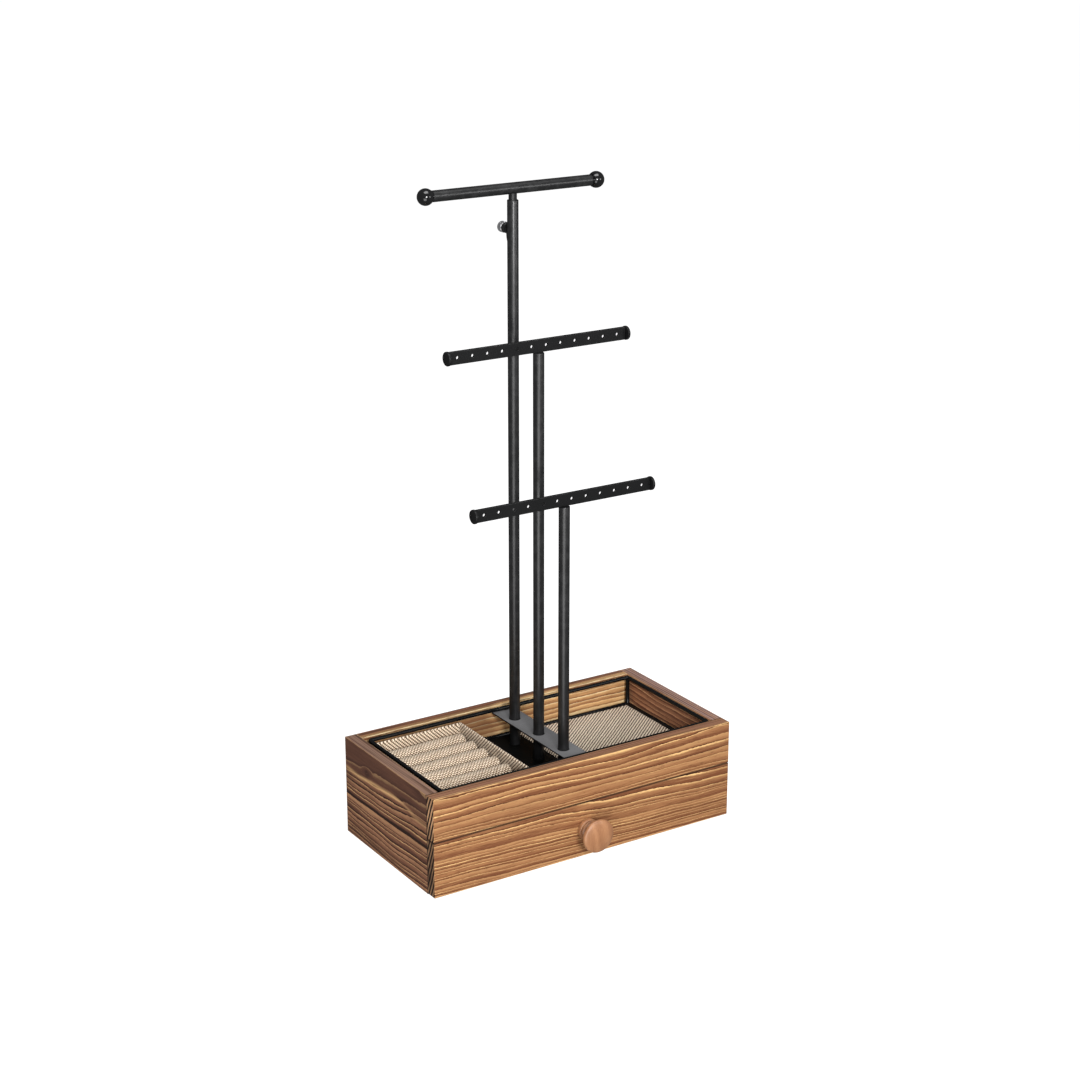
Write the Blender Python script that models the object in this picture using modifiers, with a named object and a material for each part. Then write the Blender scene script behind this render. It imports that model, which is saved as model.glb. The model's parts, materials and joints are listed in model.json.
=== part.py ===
"""Table-top jewelry stand: a wooden box with one drawer, a black wire frame and three posts.

Metres, +Z up, +X to the right along the front, -Y to the front. The origin is on the surface that
the box stands on, under the centre of the box. Two posts carry perforated earring bars. The back
post is a tube, and a rod with a crossbar slides and turns in it until a thumb screw clamps it.
"""

import math

import bmesh
import bpy
from mathutils import Matrix, Vector

GAP = 0.0003              # left between pieces that touch

# wooden box
BOX_WIDTH = 0.300
BOX_DEPTH = 0.153
BOX_HEIGHT = 0.0895
BOARD = 0.011             # thickness of the outer boards
SOFT_EDGE = 0.0008        # rounding on the boards' edges
BOTTOM_THICK = 0.004
FRONT_SPLIT = 0.0505      # height of the joint between drawer front and front rail
SPLIT_GAP = 0.0006
FLOOR_TOP = 0.0595        # top of the board over the drawer
FLOOR_THICK = 0.0055

# drawer
DRAWER_LIFT = 0.0008      # drawer front's clearance over the table
DRAWER_SIDE_PLAY = 0.0015
DRAWER_WALL = 0.006
DRAWER_TOP = 0.044
DRAWER_BACK_PLAY = 0.0045
DRAWER_BOTTOM_THICK = 0.003
LINER_THICK = 0.0015
KNOB_HEIGHT = 0.0255      # height of the knob's axis
KNOB_BORE_DEPTH = 0.012
KNOB_RADIUS = 0.015
KNOB_NECK_RADIUS = 0.0074
KNOB_FOOT_RADIUS = 0.0097

# metal frame in the upper bay; it is loose in the box and stands towards its front right corner
WIRE_RADIUS = 0.00175     # the frame is made of round wire
FRAME_LEFT = -0.1358
FRAME_RIGHT = 0.1382
FRAME_FRONT = -0.0647
FRAME_BACK = 0.0627
TOP_WIRE_HEIGHT = 0.0877  # height of the upper wires' axes
PLATE_THICK = 0.0015
POST_PLATE_TOP = 0.0856
POST_PLATE_WIDTH = 0.024
BASE_PLATE_LEFT = -0.043
BASE_PLATE_RIGHT = 0.0145
FLOOR_LINER_THICK = 0.0024

# posts and earring bars
POST_RADIUS = 0.00475
POST_BORE = 0.0038
POST_PITCH = 0.0395       # spacing of the posts, front to back
POST_PLUG = 0.015         # solid lower end of each post, which takes its screw
POST_BACK_TOP = 0.5464
BAR_HEIGHTS = {"middle": 0.4318, "front": 0.3095}
STRIP_HEIGHT = 0.0112
STRIP_THICK = 0.0024
BAR_HALF_LENGTH = 0.0885
CAP_RADIUS = 0.006
CAP_THICK = 0.0026
HOLE_COUNT = 12
HOLE_PITCH = 0.01413
HOLE_RADIUS = 0.0014
SCREW_RADIUS = 0.0018
SCREW_HEAD_RADIUS = 0.004
SCREW_HEAD_THICK = 0.0022

# mast
CROSSBAR_HEIGHT = 0.556
CROSSBAR_RADIUS = 0.00475
BALL_RADIUS = 0.0071
BALL_SPACING = 0.1644
ROD_RADIUS = 0.0035
ROD_BOTTOM = 0.400
ROD_FOOT = 0.0015         # thickness of the rod's foot under the bush
BUSH_LENGTH = 0.008
LOCK_HEIGHT = 0.5218      # height of the thumb screw's axis
SCREW_HOLE_RADIUS = 0.0021

# ring tray
TRAY_LEFT = -0.1320
TRAY_RIGHT = -0.0440
TRAY_FRONT = -0.0609
TRAY_BACK = 0.0585
TRAY_TOP = 0.0845
TRAY_WALL = 0.003
ROLL_COUNT = 6
ROLL_TOP = 0.0802
ROLL_END_GAP = 0.0025     # open slit at the rolls' right ends

ROUND_STEPS = 24          # segments of a turned piece
DRILL_STEPS = 12          # segments of a drilled hole
UPRIGHT = (0.0, 0.0, 0.0)
UPSIDE_DOWN = (math.radians(180), 0.0, 0.0)
ALONG_X = (0.0, math.radians(90), 0.0)
ALONG_MINUS_X = (0.0, math.radians(-90), 0.0)
ALONG_Y = (math.radians(-90), 0.0, 0.0)
ALONG_MINUS_Y = (math.radians(90), 0.0, 0.0)

# measures that follow from the ones above
HALF_WIDTH = BOX_WIDTH / 2
HALF_DEPTH = BOX_DEPTH / 2
INNER_X = HALF_WIDTH - BOARD
INNER_Y = HALF_DEPTH - BOARD
FRAME_BOTTOM = FLOOR_TOP + GAP
BAY_FRONT = FRAME_FRONT + 2 * WIRE_RADIUS + GAP   # clear space between the frame's wires
BAY_BACK = FRAME_BACK - 2 * WIRE_RADIUS - GAP
BAY_RIGHT = FRAME_RIGHT - 2 * WIRE_RADIUS - GAP
POST_FOOT = FRAME_BOTTOM + PLATE_THICK + GAP
POST_Y = {"back": POST_PITCH, "middle": 0.0, "front": -POST_PITCH}


def clear_scene():
    """Removes every object, so that only the stand is left."""
    for old in list(bpy.data.objects):
        bpy.data.objects.remove(old, do_unlink=True)


def add_collection(name):
    """A new collection in the scene."""
    group = bpy.data.collections.new(name)
    bpy.context.scene.collection.children.link(group)
    return group


def add_material(name, colour, roughness, metallic=0.0):
    """A Principled material with one colour and finish."""
    finish = bpy.data.materials.new(name)
    finish.use_nodes = True
    shader = finish.node_tree.nodes["Principled BSDF"]
    shader.inputs["Base Color"].default_value = (*colour, 1.0)
    shader.inputs["Roughness"].default_value = roughness
    shader.inputs["Metallic"].default_value = metallic
    return finish


clear_scene()
STAND = add_collection("jewelry_stand")
CUTTERS = add_collection("cutters")
PINE = add_material("torched_pine", (0.42, 0.20, 0.08), 0.55)
KNOB_WOOD = add_material("knob_wood", (0.52, 0.28, 0.13), 0.45)
PLY = add_material("drawer_ply", (0.55, 0.36, 0.20), 0.6)
BLACK = add_material("black_powder_coat", (0.02, 0.02, 0.022), 0.45, 0.3)
GLOSS_BLACK = add_material("gloss_black", (0.01, 0.01, 0.01), 0.12, 0.2)
LINEN = add_material("linen", (0.62, 0.52, 0.40), 0.9)
CHROME = add_material("chrome", (0.75, 0.75, 0.76), 0.12, 1.0)
STEEL = add_material("zinc_steel", (0.6, 0.6, 0.62), 0.35, 1.0)
NYLON = add_material("nylon", (0.75, 0.74, 0.70), 0.5)


def add_object(name, data, location, finish, rotation=UPRIGHT):
    """Puts a mesh or curve in the stand's collection."""
    data.materials.append(finish)
    piece = bpy.data.objects.new(name, data)
    piece.location = location
    piece.rotation_euler = rotation
    STAND.objects.link(piece)
    return piece


def box_mesh(name, low, high):
    """A box around its own centre, as large as the space between two corners."""
    size = Vector(high) - Vector(low)
    solid = bmesh.new()
    bmesh.ops.create_cube(solid, size=1.0, matrix=Matrix.Diagonal((*size, 1.0)))
    mesh = bpy.data.meshes.new(name)
    solid.to_mesh(mesh)
    solid.free()
    return mesh


def add_box(name, low, high, finish, edge=0.0):
    """A board, bar or plate between two corners; edge is the rounding of its edges."""
    centre = (Vector(low) + Vector(high)) / 2
    piece = add_object(name, box_mesh(name, low, high), centre, finish)
    if edge:
        soft = piece.modifiers.new("soft_edges", "BEVEL")
        soft.width = edge
        soft.segments = 2
        soft.limit_method = "NONE"
    return piece


def add_turned(name, profile, location, finish, rotation=UPRIGHT, ring=False):
    """A turned piece. The profile is (radius, height) pairs, down the outer side first."""
    mesh = bpy.data.meshes.new(name)
    points = [(radius, 0.0, height) for radius, height in profile]
    edges = [(i, i + 1) for i in range(len(points) - 1)]
    if ring:
        edges.append((len(points) - 1, 0))
    mesh.from_pydata(points, edges, [])
    piece = add_object(name, mesh, location, finish, rotation)
    turn = piece.modifiers.new("turn", "SCREW")
    turn.steps = ROUND_STEPS
    turn.render_steps = ROUND_STEPS
    turn.use_merge_vertices = True
    turn.merge_threshold = 0.00001
    turn.use_smooth_shade = True
    return piece


def add_cutter(name, mesh, location):
    """An object that only shapes others."""
    cutter = bpy.data.objects.new(name, mesh)
    cutter.location = location
    cutter.hide_render = True
    cutter.display_type = "WIRE"
    CUTTERS.objects.link(cutter)
    return cutter


def add_drill(name, centres, rotation, radius, length):
    """A cutter made of equal cylinders, one around each centre."""
    solid = bmesh.new()
    turn = Matrix.Rotation(rotation[0], 4, "X") @ Matrix.Rotation(rotation[1], 4, "Y")
    for centre in centres:
        bmesh.ops.create_cone(
            solid, cap_ends=True, segments=DRILL_STEPS, radius1=radius, radius2=radius,
            depth=length, matrix=Matrix.Translation(centre) @ turn)
    mesh = bpy.data.meshes.new(name)
    solid.to_mesh(mesh)
    solid.free()
    return add_cutter(name, mesh, (0.0, 0.0, 0.0))


def cut(piece, cutter):
    """Takes the cutter's shape out of the piece."""
    step = piece.modifiers.new("cut_" + cutter.name, "BOOLEAN")
    step.operation = "DIFFERENCE"
    step.object = cutter


def post_axes(height):
    """The three points where the posts' axes pass a height."""
    return [(0.0, y, height) for y in POST_Y.values()]


def build_box():
    """The wooden box: two sides, back, front rail and the two floors."""
    side_front = -INNER_Y + GAP
    for side, name in ((-1, "side_board_left"), (1, "side_board_right")):
        near, far = sorted((side * INNER_X, side * HALF_WIDTH))
        add_box(name, (near, side_front, 0.0), (far, HALF_DEPTH, BOX_HEIGHT), PINE, SOFT_EDGE)
    add_box("back_board", (-INNER_X + GAP, INNER_Y, 0.0),
            (INNER_X - GAP, HALF_DEPTH, BOX_HEIGHT), PINE, SOFT_EDGE)
    add_box("front_rail", (-HALF_WIDTH, -HALF_DEPTH, FRONT_SPLIT + SPLIT_GAP / 2),
            (HALF_WIDTH, -INNER_Y, BOX_HEIGHT), PINE, SOFT_EDGE)
    floor_x = INNER_X - GAP
    floor_y = INNER_Y - GAP
    add_box("bottom_panel", (-floor_x, -floor_y, 0.0), (floor_x, floor_y, BOTTOM_THICK), PLY)
    mid_floor = add_box("mid_floor", (-floor_x, -floor_y, FLOOR_TOP - FLOOR_THICK),
                        (floor_x, floor_y, FLOOR_TOP), PLY)
    return mid_floor


def knob_profile():
    """The knob's outline: a grooved foot, a neck and a wide domed head, top to bottom."""
    dome_radius = KNOB_RADIUS - 0.0012
    dome_height = 0.0022
    rim_height = 0.0192       # where the dome starts
    dome_steps = 4
    outline = []
    for i in range(dome_steps + 1):
        angle = math.radians(90) * i / dome_steps
        outline.append((dome_radius * math.sin(angle), rim_height + dome_height * math.cos(angle)))
    outline[0] = (0.0, outline[0][1])
    head_underside = [(KNOB_RADIUS, 0.0178), (KNOB_RADIUS, 0.0150), (0.0135, 0.0130)]
    neck = [(0.0090, 0.0105), (KNOB_NECK_RADIUS, 0.0085)]
    foot_bead = [(0.0086, 0.0068), (0.0093, 0.0055), (0.0084, 0.0042)]
    foot = [(KNOB_FOOT_RADIUS, 0.0030), (KNOB_FOOT_RADIUS, 0.0)]
    outline += head_underside + neck + foot_bead + foot
    bore = SCREW_HOLE_RADIUS
    return outline + [(bore, 0.0), (bore, KNOB_BORE_DEPTH), (0.0, KNOB_BORE_DEPTH)]


def screw_profile(shank_length):
    """A pan-head screw whose head stands on height 0 and whose shank points down."""
    return [
        (0.0, SCREW_HEAD_THICK), (SCREW_HEAD_RADIUS * 0.75, SCREW_HEAD_THICK),
        (SCREW_HEAD_RADIUS, SCREW_HEAD_THICK * 0.45), (SCREW_HEAD_RADIUS, 0.0),
        (SCREW_RADIUS, 0.0), (SCREW_RADIUS, -shank_length), (0.0, -shank_length)]


def build_drawer():
    """The drawer: front with knob, two sides, back, bottom and lining."""
    side_outer = INNER_X - DRAWER_SIDE_PLAY
    side_inner = side_outer - DRAWER_WALL
    back_outer = INNER_Y - DRAWER_BACK_PLAY
    back_inner = back_outer - DRAWER_WALL
    front_inner = -INNER_Y + GAP
    low = BOTTOM_THICK + GAP
    front = add_box("drawer_front", (-HALF_WIDTH, -HALF_DEPTH, DRAWER_LIFT),
                    (HALF_WIDTH, -INNER_Y, FRONT_SPLIT - SPLIT_GAP / 2), PINE, SOFT_EDGE)
    for side, name in ((-1, "drawer_side_left"), (1, "drawer_side_right")):
        near, far = sorted((side * side_inner, side * side_outer))
        add_box(name, (near, front_inner, low), (far, back_outer, DRAWER_TOP), PLY)
    bottom_top = low + DRAWER_BOTTOM_THICK
    board_x = side_inner - GAP
    add_box("drawer_bottom", (-board_x, front_inner, low), (board_x, back_outer, bottom_top), PLY)
    add_box("drawer_back", (-board_x, back_inner, bottom_top + GAP),
            (board_x, back_outer, DRAWER_TOP), PLY)
    add_box("drawer_liner", (-board_x, front_inner, bottom_top + GAP),
            (board_x, back_inner - GAP, bottom_top + GAP + LINER_THICK), LINEN)
    add_turned("drawer_knob", knob_profile(), (0.0, -HALF_DEPTH - GAP, KNOB_HEIGHT), KNOB_WOOD,
               ALONG_MINUS_Y)
    shank = BOARD + KNOB_BORE_DEPTH - 3 * GAP
    add_turned("knob_screw", screw_profile(shank), (0.0, front_inner, KNOB_HEIGHT), STEEL, ALONG_Y)
    hole = add_drill("knob_screw_hole", [(0.0, -HALF_DEPTH + BOARD / 2, KNOB_HEIGHT)],
                     ALONG_Y, SCREW_HOLE_RADIUS, 2 * BOARD)
    cut(front, hole)


def add_wire(name, start, end):
    """A straight length of the frame's round wire, along one of the axes."""
    start, end = Vector(start), Vector(end)
    half = (end - start).length / 2
    run = end - start
    rotation = ALONG_X if run.x else ALONG_Y if run.y else UPRIGHT
    profile = [(0.0, half), (WIRE_RADIUS, half), (WIRE_RADIUS, -half), (0.0, -half)]
    add_turned(name, profile, (start + end) / 2, BLACK, rotation)


def build_frame():
    """The metal frame: four wires at the rim, four on the floor, four upright ones, two plates."""
    left = FRAME_LEFT + WIRE_RADIUS
    right = FRAME_RIGHT - WIRE_RADIUS
    front = FRAME_FRONT + WIRE_RADIUS
    back = FRAME_BACK - WIRE_RADIUS
    bottom_height = FRAME_BOTTOM + WIRE_RADIUS
    for level, height in (("top", TOP_WIRE_HEIGHT), ("bottom", bottom_height)):
        for place, y in (("front", front), ("back", back)):
            add_wire(f"{level}_rail_{place}", (FRAME_LEFT, y, height), (FRAME_RIGHT, y, height))
        for place, x in (("left", left), ("right", right)):
            add_wire(f"{level}_rail_{place}", (x, BAY_FRONT, height), (x, BAY_BACK, height))
    clear = WIRE_RADIUS + GAP
    for depth_name, y in (("front", front), ("back", back)):
        for width_name, x in (("left", left), ("right", right)):
            add_wire(f"corner_bar_{depth_name}_{width_name}",
                     (x, y, bottom_height + clear), (x, y, TOP_WIRE_HEIGHT - clear))
    post_plate = add_box(
        "post_plate", (-POST_PLATE_WIDTH / 2, FRAME_FRONT, POST_PLATE_TOP - PLATE_THICK),
        (POST_PLATE_WIDTH / 2, FRAME_BACK, POST_PLATE_TOP), BLACK)
    base_plate = add_box(
        "base_plate", (BASE_PLATE_LEFT, BAY_FRONT, FRAME_BOTTOM),
        (BASE_PLATE_RIGHT, BAY_BACK, FRAME_BOTTOM + PLATE_THICK), GLOSS_BLACK)
    add_box("floor_liner", (BASE_PLATE_RIGHT + GAP, BAY_FRONT, FRAME_BOTTOM),
            (BAY_RIGHT, BAY_BACK, FRAME_BOTTOM + FLOOR_LINER_THICK), LINEN)
    cut(post_plate, add_drill("post_holes", post_axes(POST_PLATE_TOP), UPRIGHT,
                              POST_RADIUS + 2 * GAP, 4 * PLATE_THICK))
    return base_plate


def capped_post_profile(length):
    """A tube that is closed at its top and has a plug with a screw hole at its foot."""
    cap = 0.002
    return [
        (0.0, length), (POST_RADIUS, length), (POST_RADIUS, 0.0), (SCREW_HOLE_RADIUS, 0.0),
        (SCREW_HOLE_RADIUS, POST_PLUG), (POST_BORE, POST_PLUG), (POST_BORE, length - cap),
        (0.0, length - cap)]


def open_post_profile(length):
    """A tube that is open at its top and has a plug with a screw hole at its foot."""
    return [
        (POST_RADIUS, length), (POST_RADIUS, 0.0), (SCREW_HOLE_RADIUS, 0.0),
        (SCREW_HOLE_RADIUS, POST_PLUG), (POST_BORE, POST_PLUG), (POST_BORE, length)]


def build_posts(mid_floor, base_plate):
    """The three posts, and the screws that hold them from under the floor."""
    for name, height in BAR_HEIGHTS.items():
        length = height - STRIP_HEIGHT / 2 - GAP - POST_FOOT
        add_turned(f"post_{name}", capped_post_profile(length), (0.0, POST_Y[name], POST_FOOT),
                   BLACK)
    back_length = POST_BACK_TOP - POST_FOOT
    back = add_turned("post_back", open_post_profile(back_length),
                      (0.0, POST_Y["back"], POST_FOOT), BLACK, ring=True)
    cut(back, add_drill("lock_hole", [(0.0, POST_Y["back"] + POST_RADIUS, LOCK_HEIGHT)], ALONG_Y,
                        SCREW_HOLE_RADIUS, POST_RADIUS))
    head_level = FLOOR_TOP - FLOOR_THICK - GAP
    shank = POST_FOOT - head_level + POST_PLUG - 4 * GAP
    for name, y in POST_Y.items():
        add_turned(f"post_screw_{name}", screw_profile(shank), (0.0, y, head_level), STEEL,
                   UPSIDE_DOWN)
    for board in (mid_floor, base_plate):
        drill = add_drill(board.name + "_holes", post_axes(board.location.z), UPRIGHT,
                          SCREW_HOLE_RADIUS, 2 * FLOOR_THICK)
        cut(board, drill)


def build_earring_bars():
    """Each earring bar: a strip with a row of holes and a round cap on each end."""
    strip_half = BAR_HALF_LENGTH - CAP_THICK - GAP
    lip = 0.0006              # chamfer around a cap's outer face
    cap = [(0.0, CAP_THICK), (CAP_RADIUS - lip, CAP_THICK), (CAP_RADIUS, CAP_THICK - lip),
           (CAP_RADIUS, 0.0), (0.0, 0.0)]
    for place, height in BAR_HEIGHTS.items():
        y = POST_Y[place]
        strip = add_box(f"earring_bar_{place}",
                        (-strip_half, y - STRIP_THICK / 2, height - STRIP_HEIGHT / 2),
                        (strip_half, y + STRIP_THICK / 2, height + STRIP_HEIGHT / 2), BLACK)
        middle = (HOLE_COUNT - 1) / 2
        centres = [((i - middle) * HOLE_PITCH, y, height) for i in range(HOLE_COUNT)]
        cut(strip, add_drill(f"earring_holes_{place}", centres, ALONG_Y, HOLE_RADIUS,
                             3 * STRIP_THICK))
        for side, name, rotation in ((-1, "left", ALONG_MINUS_X), (1, "right", ALONG_X)):
            add_turned(f"bar_cap_{place}_{name}", cap, (side * (strip_half + GAP), y, height),
                       BLACK, rotation)


def ball_profile(flat):
    """A ball whose lower side is cut flat at the given distance under its centre."""
    steps = 10
    last = math.acos(-flat / BALL_RADIUS)
    outline = [(BALL_RADIUS * math.sin(last * i / steps), BALL_RADIUS * math.cos(last * i / steps))
               for i in range(steps + 1)]
    outline[0] = (0.0, BALL_RADIUS)
    return outline + [(0.0, -flat)]


def build_mast():
    """What slides and turns in the back post: rod, bush, crossbar and its two balls."""
    y = POST_Y["back"]
    flat = math.sqrt(BALL_RADIUS ** 2 - CROSSBAR_RADIUS ** 2)
    half = BALL_SPACING / 2 - flat - GAP
    bar = [(0.0, half), (CROSSBAR_RADIUS, half), (CROSSBAR_RADIUS, -half), (0.0, -half)]
    add_turned("crossbar", bar, (0.0, y, CROSSBAR_HEIGHT), BLACK, ALONG_X)
    for side, name, rotation in ((-1, "left", ALONG_MINUS_X), (1, "right", ALONG_X)):
        add_turned(f"ball_end_{name}", ball_profile(flat),
                   (side * BALL_SPACING / 2, y, CROSSBAR_HEIGHT), GLOSS_BLACK, rotation)

    groove = 0.0026           # radius of the rod inside the bush
    groove_top = ROD_FOOT + BUSH_LENGTH
    rod_length = CROSSBAR_HEIGHT - CROSSBAR_RADIUS / 2 - ROD_BOTTOM
    rod = add_turned(
        "mast_rod", [
            (0.0, rod_length), (ROD_RADIUS, rod_length), (ROD_RADIUS, groove_top),
            (groove, groove_top), (groove, ROD_FOOT), (ROD_RADIUS, ROD_FOOT), (ROD_RADIUS, 0.0),
            (0.0, 0.0)],
        (0.0, y, ROD_BOTTOM), BLACK)
    cut(rod, add_drill("crossbar_saddle", [(0.0, y, CROSSBAR_HEIGHT)], ALONG_X,
                       CROSSBAR_RADIUS + 2 * GAP, 4 * ROD_RADIUS))
    bush_top = BUSH_LENGTH - GAP
    bush = [(ROD_RADIUS, bush_top), (ROD_RADIUS, GAP), (groove + GAP, GAP),
            (groove + GAP, bush_top)]
    add_turned("mast_bush", bush, (0.0, y, ROD_BOTTOM + ROD_FOOT), NYLON, ring=True)


def build_lock():
    """The clamp on the back post: boss, thumb screw and the pad on the screw's tip."""
    axis_point = (0.0, POST_Y["back"], LOCK_HEIGHT)
    hole = SCREW_HOLE_RADIUS
    boss_near = 0.0036        # distances are from the post's axis
    boss_far = 0.0115
    collar = 0.0045
    waist = 0.0037
    boss_profile = [(collar, boss_far), (collar, 0.0088), (waist, 0.0082), (waist, 0.0068),
                    (collar, boss_near), (hole, boss_near), (hole, boss_far)]
    boss = add_turned("lock_boss", boss_profile, axis_point, BLACK, ALONG_Y, ring=True)
    cut(boss, add_drill("boss_saddle", [axis_point], UPRIGHT, POST_RADIUS + 2 * GAP,
                        8 * POST_RADIUS))
    shank = 0.0017
    tip = 0.0053
    head_near = 0.0121
    head_far = 0.0183
    head = 0.0047
    edge = 0.0005             # chamfer on the knurled head
    add_turned("thumb_screw", [
        (0.0, head_far), (head - edge, head_far), (head, head_far - edge),
        (head, head_near + edge), (head - edge, head_near), (shank, head_near), (shank, tip),
        (0.0, tip)], axis_point, CHROME, ALONG_Y)
    pad_near = ROD_RADIUS + GAP
    pad_far = tip - GAP
    pad = 0.0015
    add_turned("screw_pad", [(0.0, pad_far), (pad, pad_far), (pad, pad_near), (0.0, pad_near)],
               axis_point, NYLON, ALONG_Y)


def add_roll(name, y, half_width, low, high):
    """One padded roll: a long block with a half-round top, lying along X."""
    arc_steps = 12
    radius = half_width
    height = high - low
    outline = [(-half_width, 0.0), (half_width, 0.0)]
    for i in range(arc_steps + 1):
        angle = math.pi * i / arc_steps
        outline.append((radius * math.cos(angle), height - radius + radius * math.sin(angle)))
    left = TRAY_LEFT + TRAY_WALL + GAP
    right = TRAY_RIGHT - TRAY_WALL - ROLL_END_GAP
    curve = bpy.data.curves.new(name, "CURVE")
    curve.dimensions = "2D"
    curve.fill_mode = "BOTH"
    curve.extrude = (right - left) / 2
    spline = curve.splines.new("POLY")
    spline.points.add(len(outline) - 1)
    for point, (across, up) in zip(spline.points, outline):
        point.co = (across, up, 0.0, 1.0)
    spline.use_cyclic_u = True
    extruded_along_x = (math.radians(90), 0.0, math.radians(90))
    add_object(name, curve, ((left + right) / 2, y, low), LINEN, extruded_along_x)


def build_ring_tray():
    """The linen-covered tray and the rolls that hold the rings."""
    tray_bottom = FRAME_BOTTOM
    tray = add_box("ring_tray", (TRAY_LEFT, TRAY_FRONT, tray_bottom),
                   (TRAY_RIGHT, TRAY_BACK, TRAY_TOP), LINEN)
    inner_low = Vector((TRAY_LEFT + TRAY_WALL, TRAY_FRONT + TRAY_WALL,
                        tray_bottom + TRAY_WALL))
    inner_high = Vector((TRAY_RIGHT - TRAY_WALL, TRAY_BACK - TRAY_WALL,
                         TRAY_TOP + TRAY_WALL))
    hollow = add_cutter("tray_hollow", box_mesh("tray_hollow", inner_low, inner_high),
                        (inner_low + inner_high) / 2)
    cut(tray, hollow)
    pitch = (inner_high.y - inner_low.y) / ROLL_COUNT
    for i in range(ROLL_COUNT):
        y = inner_high.y - (i + 0.5) * pitch
        add_roll(f"ring_roll_{i + 1}", y, pitch / 2 - GAP, inner_low.z + GAP, ROLL_TOP)


def main():
    """Builds the whole stand."""
    mid_floor = build_box()
    build_drawer()
    base_plate = build_frame()
    build_posts(mid_floor, base_plate)
    build_earring_bars()
    build_mast()
    build_lock()
    build_ring_tray()


main()
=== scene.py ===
"""Looks of the table-top jewelry stand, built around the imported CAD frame.

Metres, in the CAD's frame: +Z up, +X to the right along the front, -Y out of the front.
Boards, metal and linen are separate pieces that stand for the CAD nodes and ride on their bodies.
"""

import json
import math

import bmesh
import bpy
import numpy as np
from mathutils import Matrix, Vector, noise


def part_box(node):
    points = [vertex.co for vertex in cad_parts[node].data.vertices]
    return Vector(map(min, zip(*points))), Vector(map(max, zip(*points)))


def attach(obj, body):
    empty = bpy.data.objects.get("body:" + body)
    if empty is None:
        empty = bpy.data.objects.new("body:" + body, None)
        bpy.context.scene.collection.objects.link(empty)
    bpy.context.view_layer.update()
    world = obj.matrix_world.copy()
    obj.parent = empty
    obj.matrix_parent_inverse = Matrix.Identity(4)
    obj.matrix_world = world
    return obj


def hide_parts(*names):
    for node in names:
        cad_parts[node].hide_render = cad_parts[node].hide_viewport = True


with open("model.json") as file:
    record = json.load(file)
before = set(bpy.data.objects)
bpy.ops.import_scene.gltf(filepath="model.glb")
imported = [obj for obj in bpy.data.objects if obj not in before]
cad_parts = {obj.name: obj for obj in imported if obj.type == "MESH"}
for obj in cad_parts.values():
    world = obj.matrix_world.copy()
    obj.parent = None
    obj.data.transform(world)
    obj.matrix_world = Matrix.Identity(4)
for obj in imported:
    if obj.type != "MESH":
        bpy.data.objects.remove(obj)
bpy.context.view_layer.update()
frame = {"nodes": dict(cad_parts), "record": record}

BODY_OF = {node: body for body, nodes in frame["record"]["behaviour"]["bodies"].items()
           for node in nodes}
TURN = 2 * math.pi
UP = (0, 0, 1)
BACKWARD = (0, 1, 0)

SCREW_BORE = 0.0021       # radius of the holes that the screws go through
ROD_BORE = 0.0038         # radius inside the back post, round the mast's rod
THREAD_PITCH = 0.0007
YARN = 0.00125            # pitch of the linen's threads
DRILL_REACH = 0.001       # how far a drill sticks out of the face that it cuts


# ---------------------------------------------------------------- shader helpers

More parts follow.
